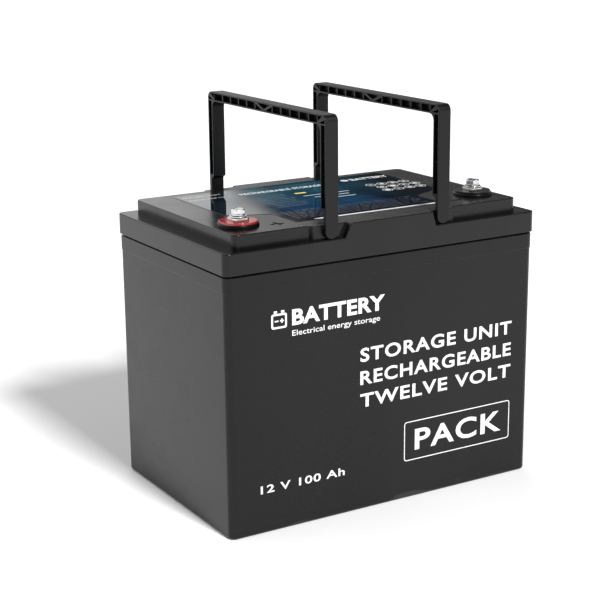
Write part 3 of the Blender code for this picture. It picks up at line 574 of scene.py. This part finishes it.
def deck_outline(inset, block, z):
    """Plan of the raised deck with its hinge bosses and flush centre blocks."""
    outer = max(0.9 * MM - inset, 0.15 * MM)
    inner = 0.8 * MM + inset
    knuckle, hollow = 2.2 * MM - inset, 1.2 * MM + inset
    deck_x, deck_y = DECK_HALF_X - inset, DECK_HALF_Y - inset
    boss_x, boss_y = BOSS_HALF_X - inset, BOSS_HALF_Y - inset
    left, right = block[0] + inset, block[1] - inset
    front_y = HALF_Y - inset
    front = [(-deck_x, -deck_y, DECK_CORNER - inset), (-boss_x - BOSS_SLANT, -deck_y, hollow),
             (-boss_x, -boss_y, knuckle), (left, -boss_y, inner), (left, -front_y, outer),
             (right, -front_y, outer), (right, -boss_y, inner), (boss_x, -boss_y, knuckle),
             (boss_x + BOSS_SLANT, -deck_y, hollow), (deck_x, -deck_y, DECK_CORNER - inset)]
    back = [(x, -y, radius) for x, y, radius in reversed(front)]
    return fillet_outline(front + back, z, steps=4)


def build_cover(material):
    foot = arc((SKIRT_FOOT_ROUND, SKIRT_BOTTOM + SKIRT_FOOT_ROUND), SKIRT_FOOT_ROUND, 270, 180, steps=2)
    shoulder = arc((SKIRT_ROUND, LEDGE_TOP - SKIRT_ROUND), SKIRT_ROUND, 180, 90, steps=4)
    skirt = [rounded_rect(HALF_X - inset, HALF_Y - inset, COVER_CORNER - inset, z)
             for inset, z in foot + shoulder]
    cover = add_piece("cover_shell", loft(skirt), material)

    rim = arc((DECK_ROUND, DECK_TOP - DECK_ROUND), DECK_ROUND, 180, 90, steps=4)
    deck = [deck_outline(0, BLOCK_FOOT, z) for z in (SKIRT_CAVITY_TOP + 1 * MM, LEDGE_TOP + 0.1 * MM)]
    deck += [deck_outline(inset, BLOCK_TOP, z) for inset, z in rim]
    carve(cover, 'UNION', loft(deck))

    lower = (HALF_X - SKIRT_WALL, HALF_Y - SKIRT_WALL, 3.6 * MM)
    upper = (DECK_HALF_X - 3.6 * MM, DECK_HALF_Y - 4.9 * MM, 3 * MM)
    cavity = [rounded_rect(*lower, z) for z in (SKIRT_BOTTOM - 5 * MM, SKIRT_CAVITY_TOP)]
    cavity += [rounded_rect(*upper, z) for z in (SKIRT_CAVITY_TOP, UNDER_DECK)]
    carve(cover, 'DIFFERENCE', loft(cavity))
    cut_hinges(cover)
    for polarity in ("positive", "negative"):
        cut_terminal(cover, polarity)
    soften(cover, 35)
    settle(cover, ROOT, "cover")


def cut_hinges(cover):
    """The slot behind each boss and the hole that a trunnion turns in."""
    slots = bmesh.new()
    holes = bmesh.new()
    for side in (-1, 1):
        slot_y = sorted(side * y for y in SLOT_Y)
        hole_y = sorted((side * TRUNNION_HOLE_Y, side * (BOSS_HALF_Y + 2 * MM)))
        slot = rectangle(slot_y[0], LEDGE_TOP + 1 * MM, slot_y[1], DECK_TOP + 1 * MM)
        for pivot in PIVOTS.values():
            add_prism(slots, slot, pivot.x - SLOT_HALF_X, pivot.x + SLOT_HALF_X)
            add_cylinder_y(holes, (pivot.x, pivot.z), TRUNNION_HOLE, *hole_y)
    carve(cover, 'DIFFERENCE', slots)
    carve(cover, 'DIFFERENCE', holes)


def cut_terminal(cover, polarity):
    """The stepped hole that a terminal's base sits in, and the mark beside it."""
    place = terminal_place(polarity)
    radius = extent(polarity + "_terminal_base")[2] + 0.25 * MM
    hole = [(HUB_HOLE, UNDER_DECK - 2 * MM), (HUB_HOLE, TERMINAL_SEAT), (radius, TERMINAL_SEAT),
            (radius, DECK_TOP + 2 * MM)]
    carve(cover, 'DIFFERENCE', turned(hole), place)
    carve(cover, 'DIFFERENCE', polarity_mark(polarity, place))


def polarity_mark(polarity, terminal):
    """An engraved plus or minus in front of a terminal, towards the middle of the cover."""
    reach, stroke = 5.5 * MM, 1.2 * MM
    centre_x = terminal.x - math.copysign(MARK_ASIDE, terminal.x)
    centre_y = terminal.y - MARK_FORWARD
    if polarity == "positive":
        mark = [(-reach, -stroke), (-stroke, -stroke), (-stroke, -reach), (stroke, -reach),
                (stroke, -stroke), (reach, -stroke), (reach, stroke), (stroke, stroke),
                (stroke, reach), (-stroke, reach), (-stroke, stroke), (-reach, stroke)]
    else:
        mark = rectangle(-reach, -stroke, reach, stroke)
    return loft([[Vector((centre_x + x, centre_y + y, z)) for x, y in mark]
                 for z in (DECK_TOP - 0.5 * MM, DECK_TOP + 1 * MM)])


# ---------------------------------------------------------------------------------- handles
def bar_pockets():
    """The (y, z) outlines of the pockets along the bar and in its corners."""
    low_z, high_z = POCKET_LOW, POCKET_HIGH
    half_rib = POCKET_RIB / 2
    outlines = []
    for index in range(1, BAR_POCKETS + 1):
        for side in (-1, 1):
            near = side * (index * POCKET_PITCH + half_rib)
            far = side * ((index + 1) * POCKET_PITCH - half_rib)
            outlines.append(rectangle(near, low_z, far, high_z))
    reach = POCKET_PITCH - half_rib
    outlines.append([(-reach + 2 * POCKET_RIB, high_z), (reach - 2 * POCKET_RIB, high_z),
                     (0, low_z + POCKET_RIB)])
    corner_in = BAR_END + half_rib
    corner_out = HANDLE_OUTER_Y - RIM
    for side in (-1, 1):
        outlines.append([(side * reach, low_z), (side * reach, high_z - POCKET_RIB),
                         (side * 2 * POCKET_RIB, low_z)])
        outlines.append([(side * corner_in, high_z), (side * corner_in, low_z + POCKET_RIB),
                         (side * (corner_out - 3.2 * MM), high_z)])
        outlines.append([(side * (corner_in + POCKET_RIB), low_z), (side * corner_out, low_z),
                         (side * corner_out, high_z - 2.2 * MM)])
    return outlines


def leg_pockets():
    """Outlines of the pockets down both legs, and of the channels that lower their ribs."""
    top = POCKET_LOW - POCKET_RIB
    foot = LEG_STEP + LEG_STEP_SLOPE + RIM
    inside = HANDLE_OUTER_Y - LEG_THICKNESS + RIM
    outside = HANDLE_OUTER_Y - RIM
    height = (top - foot + POCKET_RIB) / LEG_POCKETS
    pockets, channels = [], []
    for side in (-1, 1):
        channels.append(rectangle(side * inside, foot, side * outside, top))
        for row in range(LEG_POCKETS):
            start = foot + row * height
            end = start + height - POCKET_RIB
            pockets.append(rectangle(side * inside, start, side * outside, end))
    return pockets, channels


def handle_body():
    """The solid bail: bar, corners, legs stepped in thickness and round tips."""
    outer_y, inner_y = HANDLE_OUTER_Y, HANDLE_OUTER_Y - LEG_THICKNESS
    foot_y = HANDLE_OUTER_Y - LEG_FOOT_THICKNESS
    tip = -HANDLE_DEPTH / 2
    small = 0.4 * MM
    outside = [(outer_y, tip, 0), (outer_y, HANDLE_REACH, 4.8 * MM)]
    inside = [(inner_y, HANDLE_REACH - BAR_HEIGHT, 5.0 * MM),
              (inner_y, LEG_STEP + LEG_STEP_SLOPE, small), (foot_y, LEG_STEP, small), (foot_y, tip, 0)]
    corners = outside + [(-y, z, radius) for y, z, radius in reversed(outside)]
    corners += [(-y, z, radius) for y, z, radius in reversed(inside)] + inside
    bm = bmesh.new()
    add_prism(bm, [(point.x, point.y) for point in fillet_outline(corners, 0, steps=6)],
              -HANDLE_DEPTH / 2, HANDLE_DEPTH / 2)
    bmesh.ops.recalc_face_normals(bm, faces=bm.faces)
    tips = [edge for edge in bm.edges
            if all(abs(vertex.co.z - tip) < 1e-6 for vertex in edge.verts)
            and abs(edge.verts[0].co.x - edge.verts[1].co.x) < 1e-6]
    bmesh.ops.bevel(bm, geom=tips, offset=HANDLE_DEPTH / 2 - 0.1 * MM, segments=10, profile=0.5,
                    affect='EDGES')
    return bm


def build_handle(side, material):
    handle = add_piece(side + "_bail", handle_body(), material)
    round_edges(handle, 0.5 * MM, segments=3, angle=60)
    bake_modifiers(handle)
    trunnions, pockets, channels = bmesh.new(), bmesh.new(), bmesh.new()
    leg_cells, leg_channels = leg_pockets()
    bar_channel = rectangle(-BAR_END, POCKET_LOW, BAR_END, POCKET_HIGH)
    face = HANDLE_DEPTH / 2

    def sink(bm, outline, floor, way):
        """Cut an outline into one face of the handle, as far as floor from its middle."""
        add_prism(bm, outline, *sorted((way * floor, way * (face + 1 * MM))))

    for way in (-1, 1):
        reach = sorted((way * TRUNNION_END_Y, way * (HANDLE_OUTER_Y - LEG_FOOT_THICKNESS / 2)))
        add_cylinder_y(trunnions, (0, 0), TRUNNION_RADIUS, *reach)
        for outline in bar_pockets() + leg_cells:
            sink(pockets, outline, WEB / 2, way)
        for outline in leg_channels:
            sink(channels, outline, face - LEG_RECESS, way)
        sink(channels, bar_channel, face - BAR_RECESS, way)
    carve(handle, 'UNION', trunnions)
    carve(handle, 'DIFFERENCE', pockets)
    carve(handle, 'DIFFERENCE', channels)
    handle.data.transform(Matrix.Translation(PIVOTS[side]))
    soften(handle, 35)
    settle(handle, side + "_handle", side + "_handle")


# --------------------------------------------------------------------------------- terminals
def build_terminal(polarity, finishes):
    place = terminal_place(polarity)
    build_base(polarity, place, finishes["base"])
    build_marker(polarity, place, finishes[polarity])
    build_post(polarity, place, finishes["post"])
    build_washers(polarity, place, finishes["steel"])
    build_bolt(polarity, place, finishes["steel"])


def build_base(polarity, place, material):
    low, high, radius = extent(polarity + "_terminal_base")
    rim = 0.7 * MM
    profile = [(TERMINAL_BORE, low), (HUB_RADIUS, low), (HUB_RADIUS, TERMINAL_SEAT), (radius, TERMINAL_SEAT)]
    profile += arc((radius - rim, high - rim), rim, 0, 90) + [(TERMINAL_BORE, high)]
    ring_mesh = turned(profile, bored=True, steps=96)
    piece = add_piece(polarity + "_base_ring", ring_mesh, material, place, smooth_angle=35)
    settle(piece, ROOT, polarity + "_terminal_base")


def build_marker(polarity, place, material):
    low, high, radius = extent(polarity + "_terminal_marker")
    rim = 0.35 * MM
    profile = [(TERMINAL_BORE, low - MARKER_SUNK), (radius, low - MARKER_SUNK)]
    profile += arc((radius - rim, high - rim), rim, 0, 90) + [(TERMINAL_BORE, high)]
    disc = turned(profile, bored=True, steps=96)
    piece = add_piece(polarity + "_marker_disc", disc, material, place, smooth_angle=35)
    settle(piece, ROOT, polarity + "_terminal_marker")


def build_washers(polarity, place, material):
    low, high, radius = extent(polarity + "_flat_washer")
    rim = 0.2 * MM
    profile = [(WASHER_BORE, low), (radius - rim, low), (radius, low + rim)]
    profile += arc((radius - rim, high - rim), rim, 0, 90, steps=3)
    profile += [(WASHER_BORE + rim, high), (WASHER_BORE, high - rim)]
    flat = add_piece(polarity + "_washer_flat", turned(profile, bored=True), material, place, smooth_angle=35)
    settle(flat, polarity + "_washers", polarity + "_flat_washer")
    split = add_piece(polarity + "_washer_spring", spring_ring(polarity), material, place, smooth_angle=35)
    settle(split, polarity + "_washers", polarity + "_spring_washer")


def cut_square(half, chamfer, z):
    def radius_at(angle):
        run, rise = abs(math.cos(angle)), abs(math.sin(angle))
        return min(half / max(run, rise), (2 * half - chamfer) / (run + rise))
    return ring(radius_at, z, steps=64)


def build_post(polarity, place, material):
    """A round foot in the base, a square block with cut corners over the marker, and a bolt hole."""
    low, high, half = extent(polarity + "_terminal_post")
    block_foot = extent(polarity + "_terminal_marker")[1]
    hole_foot = extent(polarity + "_terminal_bolt")[0] - 1.5 * MM
    rim = 0.35 * MM
    rings = [circle(POST_FOOT_RADIUS - 0.5 * MM, low), circle(POST_FOOT_RADIUS, low + 0.5 * MM),
             circle(POST_FOOT_RADIUS, block_foot), cut_square(half - 0.2 * MM, POST_CUT, block_foot),
             cut_square(half, POST_CUT, block_foot + 0.2 * MM)]
    rings += [cut_square(half - inset, POST_CUT, z)
              for inset, z in arc((rim, high - rim), rim, 180, 90, steps=3)]
    rings += [circle(BOLT_HOLE + 0.3 * MM, high), circle(BOLT_HOLE, high - 0.3 * MM),
              circle(BOLT_HOLE, hole_foot)]
    piece = add_piece(polarity + "_post_block", loft(rings), material, place, smooth_angle=30)
    settle(piece, ROOT, polarity + "_terminal_post")


def spring_ring(polarity):
    """A split spring washer: a slightly helical ring with a gap."""
    low, high = extent(polarity + "_spring_washer")[:2]
    rise = (high - low) - SPRING_THICKNESS
    rim = 0.15 * MM
    inner, outer, top = WASHER_BORE, SPRING_RADIUS, SPRING_THICKNESS
    profile = [(inner + rim, 0), (outer - rim, 0), (outer, rim), (outer, top - rim),
               (outer - rim, top), (inner + rim, top), (inner, top - rim), (inner, rim)]
    gap = 12                            # degrees, each side of +X
    steps = 56
    sections = []
    for step in range(steps + 1):
        share = step / steps
        angle = math.radians(gap + (360 - 2 * gap) * share)
        spoke = Vector((math.cos(angle), math.sin(angle), 0))
        sections.append([spoke * radius + Vector((0, 0, low + rise * share + height))
                         for radius, height in profile])
    return loft(sections)


def build_bolt(polarity, place, material):
    """A hexagon bolt with a rolled thread, chamfered corners and a dished head."""
    low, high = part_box(polarity + "_terminal_bolt")
    half_flats = (high.y - low.y) / 2
    half_corners = half_flats * 2 / math.sqrt(3)
    head_low = extent(polarity + "_spring_washer")[1]
    chamfer_low = high.z - 0.75 * MM
    steps = 48

    def thread(z):
        def radius_at(angle):
            phase = (z / THREAD_PITCH - angle / math.tau) % 1.0
            return THREAD_ROOT + (THREAD_RADIUS - THREAD_ROOT) * abs(1 - 2 * phase)
        return ring(radius_at, z, steps)

    def hexagon(z, limit=half_corners):
        """The hexagon, cut back to a circle of radius limit where its corners pass it."""
        def radius_at(angle):
            return min(limit, half_flats / math.cos((angle % (math.pi / 3)) - math.pi / 6))
        return ring(radius_at, z, steps)

    foot = 0.4 * MM
    turns = 8                           # loops of points in each turn of the thread
    count = int((head_low - 0.6 * MM - low.z - foot) / THREAD_PITCH * turns)
    rings = [circle(THREAD_ROOT - foot, low.z, steps)]
    rings += [thread(low.z + foot + THREAD_PITCH * index / turns) for index in range(count + 1)]
    rings += [circle(THREAD_RADIUS, head_low, steps), circle(half_flats - 0.1 * MM, head_low, steps),
              hexagon(head_low + 0.05 * MM, half_flats + 0.2 * MM), hexagon(head_low + 0.35 * MM),
              hexagon(chamfer_low)]
    for share in (0.35, 0.7, 1.0):
        limit = half_corners - (half_corners - half_flats + 0.15 * MM) * share
        rings.append(hexagon(chamfer_low + 0.72 * MM * math.sin(share * math.pi / 2), limit))
    rings += [circle(half_flats - 0.6 * MM, high.z, steps), circle(half_flats - 1.1 * MM, high.z, steps),
              circle(half_flats - 1.5 * MM, high.z - 0.25 * MM, steps)]
    piece = add_piece(polarity + "_hex_bolt", loft(rings), material, place, smooth_angle=30)
    settle(piece, polarity + "_bolt", polarity + "_terminal_bolt")


# ------------------------------------------------------------------------------------- print
class Print:
    """A sheet of thin printed marks, laid out flat as (u, v) and then placed on a face."""

    def __init__(self):
        self.bm = bmesh.new()
        self.lift = 0.02 * MM
        self.thickness = 0.03 * MM

    def shape(self, outline):
        """A filled outline of (u, v) points."""
        add_solid(self.bm, *([(u, v, w) for u, v in outline]
                             for w in (self.lift, self.lift + self.thickness)))

    def band(self, outer, inner):
        """The band between two outlines of equal length."""
        levels = ((outer, self.lift), (outer, self.lift + self.thickness),
                  (inner, self.lift + self.thickness), (inner, self.lift))
        loops = [[self.bm.verts.new((u, v, w)) for u, v in outline] for outline, w in levels]
        for first, second in zip(loops, loops[1:] + loops[:1]):
            add_wall(self.bm, first, second)

    def rect(self, low_u, low_v, high_u, high_v):
        self.shape(rectangle(low_u, low_v, high_u, high_v))

    def words(self, text, left, base, cap_height, width, weight=0.0, spacing=1.0):
        """A line of text stretched to a width, and to the height of its capitals."""
        curve = bpy.data.curves.new("words", 'FONT')
        curve.body = text
        curve.offset = weight
        curve.space_character = spacing
        curve.extrude = 0.5
        curve.resolution_u = 4
        obj = bpy.data.objects.new("words", curve)
        bpy.context.scene.collection.objects.link(obj)
        graph = bpy.context.evaluated_depsgraph_get()
        mesh = bpy.data.meshes.new_from_object(obj.evaluated_get(graph))
        xs = [vertex.co.x for vertex in mesh.vertices]
        ys = [vertex.co.y for vertex in mesh.vertices]
        stretch = Matrix.Diagonal((width / (max(xs) - min(xs)), cap_height / (max(ys) - min(ys)),
                                   self.thickness, 1.0))
        shift = Matrix.Translation((left, base, self.lift + self.thickness / 2))
        mesh.transform(shift @ stretch @ Matrix.Translation((-min(xs), -min(ys), 0)))
        self.bm.from_mesh(mesh)
        bpy.data.objects.remove(obj, do_unlink=True)
        bpy.data.curves.remove(curve)
        bpy.data.meshes.remove(mesh)

    def place(self, name, material, mapping, slot):
        """Turn each (u, v, w) into its place on the face and make the piece."""
        bmesh.ops.remove_doubles(self.bm, verts=self.bm.verts, dist=1e-8)
        for vertex in self.bm.verts:
            vertex.co = mapping(*vertex.co)
        piece = add_piece(name, self.bm, material)
        return settle(piece, ROOT)


def polygon(centre, radius, sides):
    return [(centre[0] + radius * math.cos(math.tau * step / sides),
             centre[1] + radius * math.sin(math.tau * step / sides)) for step in range(sides)]


def box_outline(low_u, low_v, high_u, high_v, radius):
    centre_u, centre_v = (low_u + high_u) / 2, (low_v + high_v) / 2
    points = rounded_rect((high_u - low_u) / 2, (high_v - low_v) / 2, radius, 0, steps=6)
    return [(point.x + centre_u, point.y + centre_v) for point in points]


def front_face(u, v, w):
    """A place on the case's front wall, which leans by its moulding draft."""
    share = (v - FOOT_ROUND) / (BAND_BOTTOM - FOOT_ROUND)
    inset = FOOT_INSET + (BODY_INSET - FOOT_INSET) * share
    return Vector((u, -(HALF_Y - inset) - w, v))


def label_face(u, v, w):
    return Vector((u, v, LABEL_TOP + w))


def pictogram(sheet):
    """A box with two posts on top, and a minus and a plus inside."""
    sheet.band(box_outline(-95.1 * MM, 145.9 * MM, -82.9 * MM, 156.4 * MM, 1.6 * MM),
               box_outline(-93.7 * MM, 147.3 * MM, -84.3 * MM, 155 * MM, 0.8 * MM))
    for left in (-93.1 * MM, -87.4 * MM):
        sheet.rect(left, 156.8 * MM, left + 2.6 * MM, 158.4 * MM)
    for left in (-92.5 * MM, -88.3 * MM):
        sheet.rect(left, 150.7 * MM, left + 3 * MM, 151.7 * MM)
    sheet.rect(-87.3 * MM, 149.7 * MM, -86.3 * MM, 152.7 * MM)


def build_front_print(ink):
    """Generic words and a plain battery pictogram in white ink."""
    sheet = Print()
    pictogram(sheet)
    beside = -78.8 * MM
    sheet.words("BATTERY", beside, 146.5 * MM, 11.3 * MM, 75.8 * MM, weight=0.035, spacing=1.05)
    sheet.words("Electrical energy storage", beside, 137.9 * MM, 5.1 * MM, 71.8 * MM, weight=0.006)
    for row, text in enumerate(("STORAGE UNIT", "RECHARGEABLE", "TWELVE VOLT")):
        base = (110.9 - 16.8 * row) * MM
        sheet.words(text, -23.4 * MM, base, 10.2 * MM, 134.6 * MM, weight=0.022, spacing=1.12)
    sheet.band(box_outline(14.7 * MM, 28.9 * MM, 111.3 * MM, 59 * MM, 2.4 * MM),
               box_outline(15.4 * MM, 29.6 * MM, 110.6 * MM, 58.3 * MM, 1.7 * MM))
    sheet.words("PACK", 24.2 * MM, 36.1 * MM, 16.3 * MM, 79.2 * MM, weight=0.02, spacing=1.1)
    sheet.words("12 V 100 Ah", -105.2 * MM, 29.6 * MM, 5.9 * MM, 68.6 * MM, weight=0.016, spacing=1.1)
    sheet.place("front_print", ink, front_face, "white_nylon")


def label_outline(inset, z):
    narrow, wide = LABEL_NARROW - inset, LABEL_HIGH.x - inset
    shoulder = LABEL_SHOULDER + inset
    right = [(narrow, LABEL_LOW.y + inset, 2 * MM), (narrow, shoulder, 4 * MM),
             (wide, shoulder + LABEL_TAPER, 4 * MM), (wide, LABEL_HIGH.y - inset, 4 * MM)]
    left = [(-x, y, radius) for x, y, radius in reversed(right)]
    return fillet_outline(left[-1:] + right + left[:-1], z)


def build_label(material, white, grey, amber):
    rim = 0.06 * MM
    rings = [label_outline(0, DECK_TOP + 0.01 * MM)]
    rings += [label_outline(inset, z) for inset, z in arc((rim, LABEL_TOP - rim), rim, 180, 90, steps=3)]
    plate = add_piece("label_plate", loft(rings), material, smooth_angle=35)
    settle(plate, ROOT, "top_label")
    print_titles(white)
    print_small(grey)
    tag = Print()
    tag.rect(-9.5 * MM, 25.5 * MM, 0, 29 * MM)
    tag.place("label_tag", amber, label_face, "label_print")


def print_titles(ink):
    """Titles, icons and lines, and a white strip along the front edge that is a painted highlight for the light
    caught by the plate's rounded edge.
    """
    sheet = Print()
    edge = LABEL_LOW.y
    inner_left, outer_left = -46 * MM, -89 * MM
    # Painted highlight: white ink along the plate's front edge stands in for the light on its rounded edge.
    sheet.shape(box_outline(inner_left, edge + 0.3 * MM, 61.2 * MM, edge + 3.0 * MM, 0.6 * MM))
    sheet.words("RECHARGEABLE STORAGE", inner_left, 43.5 * MM, 6 * MM, 72 * MM, weight=0.02, spacing=1.1)
    sheet.words("BATTERY", 56 * MM, 48.4 * MM, 7 * MM, 34.5 * MM, weight=0.03, spacing=1.05)
    sheet.shape(polygon((50.5 * MM, 51.9 * MM), 3.3 * MM, 24))
    sheet.words("SEALED UNIT", outer_left, 55 * MM, 3.2 * MM, 32 * MM, spacing=1.1)
    sheet.words("TWELVE VOLT CLASS", outer_left, 44 * MM, 3.2 * MM, 34 * MM, spacing=1.1)
    for row in range(3):
        for column in range(4):
            aside = 2.5 if row % 2 else 0
            centre = ((57.5 + 10.2 * column + aside) * MM, (25 - 11.5 * row) * MM)
            sheet.band(polygon(centre, 4.6 * MM, 6), polygon(centre, 3.9 * MM, 6))
            size = (1.6 + 0.5 * ((row + column) % 3)) * MM
            sheet.shape(polygon(centre, size, 3 + (row + 2 * column) % 4))
    for row, (start, end) in enumerate(((-9, 31), (-4, 26), (-2, 27))):
        sheet.rect(start * MM, (15 - 8 * row) * MM, end * MM, (16 - 8 * row) * MM)
    sheet.place("label_print", ink, label_face, "white_nylon")


def print_small(ink):
    """Bars in place of the small print: a column of lines, and rows of words along the front."""
    sheet = Print()
    for row in range(9):
        level = (30 - 5.2 * row) * MM
        sheet.rect(-47 * MM, level, (-17 - 2 * (row % 3)) * MM, level + 0.8 * MM)
    for row in range(7):
        start = -55 * MM
        level = (-29 - 3.8 * row) * MM
        for word in range(16):
            end = start + (3.2 + (5 * row + 7 * word) % 6) * MM
            sheet.rect(start, level, min(end, 57 * MM), level + 1.1 * MM)
            start = end + 1.6 * MM
            if start > 52 * MM:
                break
    sheet.place("label_small_print", ink, label_face, "white_nylon")


def label_art():
    """Glossy laminate: a teal and blue field with fine light streaks, dark towards its edges."""
    made = Surface("label_art", (0.012, 0.06, 0.09), roughness=0.05)
    across, along = made.axis("X"), made.axis("Y")
    night = (0.006, 0.009, 0.012)
    depth = made.remap(along, -34 * MM, 26 * MM)
    cloud = made.remap(made.noise(24.0, detail=5.0), 0.35, 0.68)
    teal = made.blend(cloud, (0.008, 0.055, 0.086), (0.02, 0.10, 0.145))
    field = made.blend(depth, (0.004, 0.030, 0.10), teal)
    slant = made.maths('ADD', across, made.maths('MULTIPLY', along, -0.35))
    rays = made.noise(34.0, detail=6.0, coords=made.stretched((0.55, 3.6, 1.0)), distortion=0.25)
    field = made.blend(made.maths('MULTIPLY', made.remap(rays, 0.52, 0.68), 0.45), field, (0.02, 0.12, 0.22))
    fine = made.noise(160.0, detail=3.0, coords=made.stretched((0.25, 5.0, 1.0)))
    field = made.blend(made.maths('MULTIPLY', made.remap(fine, 0.6, 0.7), 0.35), field, (0.05, 0.17, 0.26))
    right = made.remap(slant, 18 * MM, 62 * MM)
    edge = made.maths('ADD', across, made.maths('MULTIPLY', along, -0.13))
    left = made.remap(edge, -60 * MM, -45 * MM, 1.0, 0.0)
    front = made.remap(along, -42 * MM, -28 * MM, 1.0, 0.0)
    back = made.remap(along, 60 * MM, 66 * MM)
    dark = made.maths('MAXIMUM', made.maths('MAXIMUM', right, left), made.maths('MAXIMUM', front, back))
    made.feed("Base Color", made.blend(made.maths('MULTIPLY', dark, 0.94), field, night))
    made.feed("Roughness", made.remap(made.noise(40.0, detail=5.0), 0.3, 0.7, 0.03, 0.08))
    made.bump(made.noise(900.0, detail=2.0), 0.012, 0.1 * MM)
    return made.material


def print_ink(name, colour, roughness=0.36):
    """Screen-printed ink with a faint mottle."""
    made = Surface(name, colour, roughness)
    mottle = made.noise(420.0, detail=4.0)
    thin = tuple(value * 0.86 for value in colour)
    made.feed("Base Color", made.blend(made.remap(mottle, 0.35, 0.7), colour, thin))
    made.feed("Roughness", made.remap(mottle, 0.3, 0.7, roughness - 0.03, roughness + 0.1))
    made.bump(mottle, 0.05, 0.05 * MM)
    return made.material


# ------------------------------------------------------------------------------ inside pieces
def dress_inside():
    """Procedural finishes for the CAD pieces that are sealed in the case, by the record's slots."""
    finishes = {
        "cell_film": plastic("cell_film", (0.02, 0.10, 0.36), 0.3, grain=500.0),
        "insulating_board": plastic("insulating_board", (0.62, 0.60, 0.52), 0.6, grain=350.0, relief=0.15),
        "white_nylon": plastic("white_nylon", (0.75, 0.74, 0.70), 0.45),
        "transistor_epoxy": plastic("transistor_epoxy", (0.015, 0.015, 0.016), 0.5),
        "board_laminate": plastic("board_laminate", (0.01, 0.12, 0.05), 0.35, grain=240.0, relief=0.1),
        "nut_nylon": plastic("nut_nylon", (0.016, 0.016, 0.017), 0.5),
        "gasket_rubber": rubbery("gasket_rubber", (0.012, 0.012, 0.012)),
        "black_foam": rubbery("black_foam", (0.02, 0.02, 0.02), 0.92, grain=450.0),
        "red_silicone": rubbery("red_silicone", (0.55, 0.02, 0.02), 0.5),
        "black_silicone": rubbery("black_silicone", (0.015, 0.015, 0.015), 0.5),
        "copper_bar": plated("copper_bar", (0.80, 0.42, 0.26), 0.28),
        "aluminium_plate": plated("aluminium_plate", (0.76, 0.77, 0.78), 0.36),
        "steel_strap": plated("steel_strap", (0.55, 0.56, 0.58), 0.34),
        "standoff_brass": plated("standoff_brass", (0.78, 0.62, 0.32), 0.3),
        "zinc_steel": plated("probe_steel", (0.70, 0.71, 0.73), 0.28),
    }
    for entry in frame["record"]["subparts"]:
        node = frame["nodes"][entry["node"]]
        if not node.hide_render:
            node.data.materials.clear()
            node.data.materials.append(finishes[entry["material_slot"]])


def main():
    bpy.context.scene.view_settings.view_transform = 'Standard'
    build_camera()
    build_floor()
    build_key()
    build_room()
    black, jet = (0.003, 0.0031, 0.0033), (0.002, 0.002, 0.0022)
    build_case(plastic("case_plastic", black, 0.27, scuff_z=CASE_LOW.z, specular=0.295))
    build_cover(plastic("cover_plastic", black, 0.24, relief=0.035, specular=0.355))
    handle_plastic = plastic("handle_plastic", (0.003, 0.003, 0.0032), 0.36, relief=0.06, specular=0.3)
    for side in PIVOTS:
        build_handle(side, handle_plastic)
    finishes = {
        "base": plastic("terminal_plastic", jet, 0.3, relief=0.02, specular=0.2),
        "positive": plastic("red_marker", (0.24, 0.010, 0.012), 0.14, relief=0.015, specular=1.0),
        "negative": plastic("black_marker", jet, 0.3, relief=0.015, specular=0.25),
        "post": plated("tin_plate", (0.74, 0.72, 0.68), 0.2),
        "steel": plated("zinc_plate", (0.78, 0.79, 0.80), 0.16),
    }
    for polarity in ("positive", "negative"):
        build_terminal(polarity, finishes)
    ink = print_ink("white_ink", (0.86, 0.86, 0.85))
    grey = print_ink("small_print_ink", (0.085, 0.098, 0.13), 0.12)
    amber = plastic("amber_ink", (0.75, 0.50, 0.06), 0.35, grain=420.0)
    build_front_print(ink)
    build_label(label_art(), ink, grey, amber)
    dress_inside()


main()
